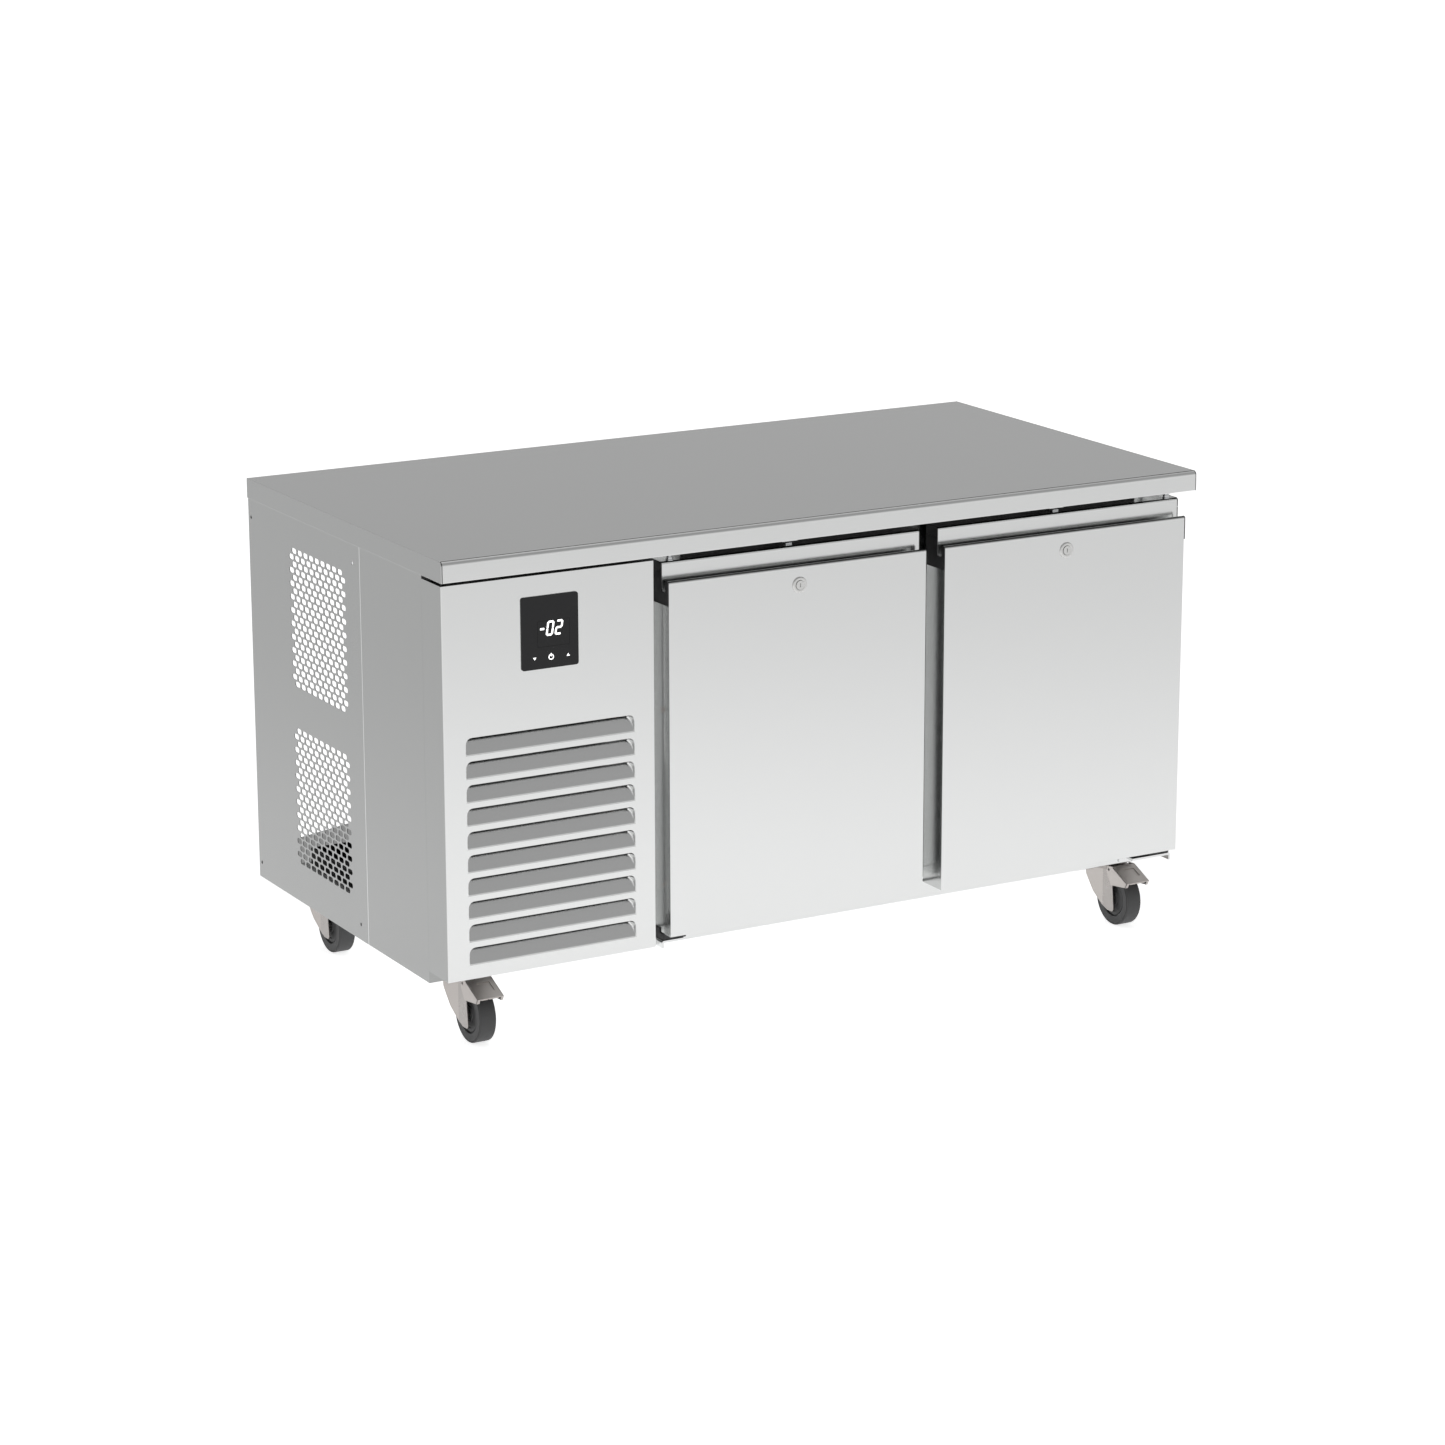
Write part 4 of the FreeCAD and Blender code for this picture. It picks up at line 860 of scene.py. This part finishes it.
def make_lock(side):
    """Rosette on the door's face, and the plug with its key slot and crank pin."""
    body, lock = "door_" + side, "lock_%s_" % side
    low, high = span(lock + "body")
    centre = ((low.x + high.x) / 2, 0, (low.z + high.z) / 2)
    radius, front, bore, shank = (high.x - low.x) / 2, low.y, 8.15, 11
    rosette = Piece(lock + "rosette", body, "nickel", "nickel", lock + "body")
    profile = [(bore, front + 0.9), (8.5, front + 0.35), (9.4, front), (11.6, front), (12.9, front + 0.3),
               (13.8, front + 0.9), (radius, front + 1.6), (radius, front + 2.2), (shank, front + 2.3),
               (shank, high.y), (bore, high.y)]
    rosette.lathe("y", centre, profile, ring=True)
    rosette.done()
    b_low, b_high = span(lock + "barrel")
    barrel = Piece(lock + "plug", lock + "barrel", "nickel", "nickel", lock + "barrel")
    front, back = b_low.y, b_high.y
    key_half, key_high, plug_r, crank, pin_off, pin_r = 0.8, 3.6, 8.0, back - 9, 5, 1.5
    x, _, z = centre
    slot = rectangle((x - key_half, x + key_half), (z - key_high, z + key_high), 0.5)
    barrel.prism("y", (front, front + 5), circle((x, z), plug_r, 40), [slot], rim=0.6, hole_rim=0.15,
                 rim_ends=(0,))
    barrel.lathe("y", centre, [(0, front + 4.9), (7.9, front + 4.9), (7.9, crank), (0, crank)])
    barrel.lathe("y", (x + pin_off, 0, z - pin_off),
                 [(0, crank - 0.5), (pin_r, crank - 0.5), (pin_r, back - 0.3), (1.2, back), (0, back)], 16)
    barrel.prism("y", (front + 4.85, front + 4.9), slot, material="black_plastic")
    barrel.done()


# ---- casters
TRAIL = 38.0  # swivel axis behind the wheel's axle
LEG_INNER, LEG_OUTER, LEG_FRONT = 18.3, 20.8, 8.4
CROWN_THICK, CROWN_R, CROWN_BORE = 7.5, 36, 8.2
FOLD_BACK, FLARE, AXLE_R = 21.7, 0.12, 6


def wheel_centre(name):
    low, high = span(name + "_wheel")
    return (low + high) / 2


def make_fork(name):
    """Pressed fork: crown, two legs folded along a vertical line, flush axle."""
    x, y, axle_z = wheel_centre(name)
    crown_top = span(name + "_fork")[1].z
    crown_z = crown_top - CROWN_THICK
    fork = Piece(name + "_fork_pressing", name + "_fork", "caster_steel", "caster_steel", name + "_fork")
    rim_r, bore_r = CROWN_R - 1.6, CROWN_BORE + 0.6
    profile = [(CROWN_BORE, crown_top - 0.6), (bore_r, crown_top), (rim_r, crown_top),
               (CROWN_R, crown_top - 1.6), (CROWN_R, crown_z + 1.6), (rim_r, crown_z), (bore_r, crown_z),
               (CROWN_BORE, crown_z + 0.6)]
    fork.lathe("z", (x, y + TRAIL, 0), profile, ring=True)
    fork.prism("z", (crown_z, crown_top - 0.6),
               rectangle((x - LEG_OUTER, x + LEG_OUTER), (y - LEG_FRONT, y + TRAIL)), rim=0.6)
    front, back, leg_top = y - LEG_FRONT, y + TRAIL + 31, crown_top - 1
    leg = fillet([(front, leg_top), (front, 76, 8), (y - 13.6, 31.5, 3), (y - 9, 26.7, 2.5),
                  (y + 7, 26.7, 8), (y + 22, 32, 20), (y + 48, 52, 30), (back, 82, 18), (back, leg_top)], 6)
    fold_y = y + FOLD_BACK
    for sign in (-1, 1):
        faces = fork.prism("x", sorted((x + sign * LEG_INNER, x + sign * LEG_OUTER)), leg)
        geom = list({v for f in faces for v in f.verts}) + list({e for f in faces for e in f.edges}) + faces
        split = bmesh.ops.bisect_plane(fork.bm, geom=geom, plane_co=(0, fold_y, 0), plane_no=(0, 1, 0))
        halves = [item for item in split["geom"] if isinstance(item, bmesh.types.BMFace)]
        # painted light: the legs' rear halves take the lighter caster steel
        for face in halves:
            if face.calc_center_median().y > fold_y:
                face.material_index = fork.index_of("caster_painted_light")
        for vert in {v for face in halves for v in face.verts}:
            if vert.co.y > fold_y + 0.01:
                vert.co.x += sign * (vert.co.y - fold_y) * FLARE
    axle = (x - LEG_INNER - 1, x + LEG_INNER + 1)
    fork.lathe("x", (0, y, axle_z), [(0, axle[0]), (AXLE_R, axle[0]), (AXLE_R, axle[1]), (0, axle[1])], 32)
    fork.done(bevel=0.35, sharp=25)


# half section of a wheel: (radius, inset from the side face), from the bore to the tread
WHEEL_SIDE = ((6.15, 2.5), (9.5, 2.5), (10.5, 1.6), (13.2, 1.6), (14.2, 3.6), (24.5, 4.0), (25.2, 2.4),
              (30.6, 2.4), (31.2, 4.2), (33.2, 4.2), (33.8, 0.6), (34.8, 0.2), (46.2, 0.0), (46.7, 0.9),
              (47.5, 0.9), (48.0, 0.2), (49.3, 0.7))
TREAD_INSET = 2.0


def make_wheel(name):
    """Turned wheel: hub, web with a step, tyre with a fine line near its shoulder."""
    low, high = span(name + "_wheel")
    x, y, z = wheel_centre(name)
    half = (high.x - low.x) / 2
    wheel = Piece(name + "_wheel_tyre", name + "_wheel", "wheel_rubber", "wheel_rubber", name + "_wheel")
    side = WHEEL_SIDE + (((high.z - low.z) / 2, TREAD_INSET),)
    profile = [(radius, x - half + inset) for radius, inset in side]
    profile += [(radius, x + half - inset) for radius, inset in reversed(side)]
    wheel.lathe("x", (0, y, z), profile, 72, ring=True)
    wheel.done(sharp=24)


PEDAL_TOP, PEDAL_TOE, PEDAL_FALL = 12.8, 60.3, 20.5  # ahead of the axle, and how far the toe is lower
PEDAL_PAD = ((-9, 15), (17, 40))  # pressed recess, across and up the slope
PEDAL_LIP = Vector((4.6, -9.0))  # back and down from the toe
SHORT_LIP = 0.35  # the middle tabs' share of the lip


def make_pedal(name):
    """Brake pedal: sloping tread plate with a pressed recess, a notched lip and two cheeks."""
    p_low, p_high = span(name + "_pedal")
    x, y, _ = wheel_centre(name)
    half = (p_high.x - p_low.x) / 2
    top, toe = Vector((y - PEDAL_TOP, p_high.z)), Vector((y - PEDAL_TOE, p_high.z - PEDAL_FALL))
    # the pedal plate takes the lighter caster steel: painted light
    pedal = Piece(name + "_pedal_plate", name + "_pedal", "caster_painted_light", "caster_steel", name + "_pedal")
    slope, length = (top - toe).normalized(), (top - toe).length
    normal = Vector((-slope.y, slope.x))

    def slab(across, along, levels, holes=()):
        """Plate on the slope: across, up the slope from the toe, above the slope."""
        faces = pedal.prism("z", levels, rectangle(across, along, 1.0), holes)
        for vert in {v for f in faces for v in f.verts}:
            point = toe + slope * vert.co.y + normal * vert.co.z
            vert.co = (x + vert.co.x, point.x, point.y)

    (pad_left, pad_right), (pad_low, pad_high) = PEDAL_PAD
    slab((-half, half), (0, length), (-2.0, -0.1), [rectangle(*PEDAL_PAD, 2.0)])
    slab((pad_left - 1, pad_right + 1), (pad_low - 1, pad_high + 1), (-3.0, -1.6))
    for a, b, share in ((-half, -half + 5, 1), (-half + 7, -5, SHORT_LIP), (-3, half - 9, SHORT_LIP),
                        (half - 5, half, 1)):
        drop = PEDAL_LIP * share
        pedal.prism("x", (x + a, x + b), [(toe.x, toe.y - 0.2), (toe.x + drop.x, toe.y + drop.y),
                                          (toe.x + 2 + drop.x, toe.y + 1 + drop.y), (toe.x + 3, toe.y - 1)])
    cheek = fillet([(*top, 1.0), (*toe, 1.0), (*(toe + PEDAL_LIP), 1.2), (y - LEG_FRONT, 78, 2),
                    (y + 4, 97, 3), (y + 4, 112, 3)], 4)
    for sign in (-1, 1):
        pedal.prism("x", sorted((x + sign * half, x + sign * (half - 2))), cheek, rim=0.3)
    pedal.lathe("x", (0, y - 1.5, p_high.z - 8),
                [(0, x - half), (2.5, x - half), (2.5, x + half), (0, x + half)], 24)
    pedal.done(bevel=0.3, sharp=30)


PLATE_HALF, PLATE_THICK, BOLT_X, BOLT_Y = (50, 40), 3, 40, 30
HEAD_R, STEM_R, RACE_R = 12, 8, 33


def make_caster_plates():
    """Top plates with their swivel races and king pins, and the four bolts of each."""
    low, high = span("caster_top_plates")
    plates = Piece("caster_swivel_heads", "cabinet", "caster_steel", "caster_steel", "caster_top_plates")
    bolts = Piece("caster_bolt_heads", "cabinet", "bright_steel", "bright_steel", "caster_bolts")
    b_low, b_high = span("caster_bolts")
    for name in CASTERS:
        x, y, _ = wheel_centre("caster_" + name)
        y += TRAIL
        race_low = span("caster_%s_wheel" % name)[0].z + 112
        plate_low = high.z - PLATE_THICK
        bolt_places = [(x + dx, y + dy) for dx in (-BOLT_X, BOLT_X) for dy in (-BOLT_Y, BOLT_Y)]
        plate = rectangle((x - PLATE_HALF[0], x + PLATE_HALF[0]), (y - PLATE_HALF[1], y + PLATE_HALF[1]), 6)
        plates.prism("z", (plate_low, high.z), plate, [circle(place, 4.3, 20) for place in bolt_places],
                     rim=0.5)
        race = [(0, race_low), (29, race_low), (32.4, race_low + 2), (RACE_R, race_low + 6),
                (31, plate_low - 0.5), (30, plate_low + 0.1), (0, plate_low + 0.1)]
        head = [(0, 0), (10.5, 0), (HEAD_R, 1.2), (HEAD_R, 8.5), (0, 8.5)]
        stem = [(0, low.z + 1), (STEM_R, low.z + 1), (STEM_R, race_low + 1), (0, race_low + 1)]
        plates.lathe("z", (x, y, 0), race)
        plates.lathe("z", (x, y, 0), [(radius, low.z + up) for radius, up in head], 6)
        plates.lathe("z", (x, y, 0), stem, 24)
        bolt_head = [(0, 0), (5.6, 0), (6.5, 0.8), (6.5, 5.2), (0, 5.2)]
        for place in bolt_places:
            bolts.lathe("z", (*place, 0), [(radius, b_low.z + up) for radius, up in bolt_head], 6)
            bolts.lathe("z", (*place, 0),
                        [(0, b_low.z + 5), (4, b_low.z + 5), (4, b_high.z), (0, b_high.z)], 20)
    plates.done(sharp=30)
    bolts.done(sharp=30)


# ---- carried-over CAD nodes
def dress_cad_nodes():
    """Slot materials on the carried-over nodes; some sheets are brushed another way."""
    # the outer shell takes the steel with painted shade on its right and back faces
    along = {"outer_shell": "steel_shell_painted_shade", "hinge_brackets": "steel_x", "shelf_supports": "steel_y"}
    edges = {"hinge_brackets": 0.6, "outer_shell": 0.5, "base_frame": 0.8, "centre_mullion": 0.8,
             "electrical_box": 2.0, "evaporation_tray": 1.0, "compressor": 0.5, "condenser_shroud": 0.4,
             "evaporator_housing": 0.8, "lock_left_bolt": 0.4, "lock_right_bolt": 0.4, "lock_keepers": 0.3,
             "shelf_supports": 0.4, "condenser_fan": 0.4, "evaporator_fan": 0.4, "fan_motors": 0.6,
             "worktop_core": 0.5, "inner_liner": 0.4}
    for part in frame["record"]["subparts"]:
        node = NODES[part["node"]]
        node.data.materials.clear()
        node.data.materials.append(MATERIALS[along.get(part["node"], part["material_slot"])])
        if part["node"] in edges:
            weld = node.modifiers.new("joined", "WELD")
            weld.merge_threshold = 1e-5
            round_edges(node, edges[part["node"]])


make_camera()
make_studio()
make_worktop()
make_side_panels()
make_front_cover()
make_controller()
make_rear_panel()
make_bottom_rail()
make_top_gap_shade()
for door_side in SIDES:
    make_door(door_side)
    make_lock(door_side)
for caster in CASTERS:
    caster_name = "caster_" + caster
    make_fork(caster_name)
    make_wheel(caster_name)
    if caster.startswith("front"):
        make_pedal(caster_name)
make_caster_plates()
dress_cad_nodes()
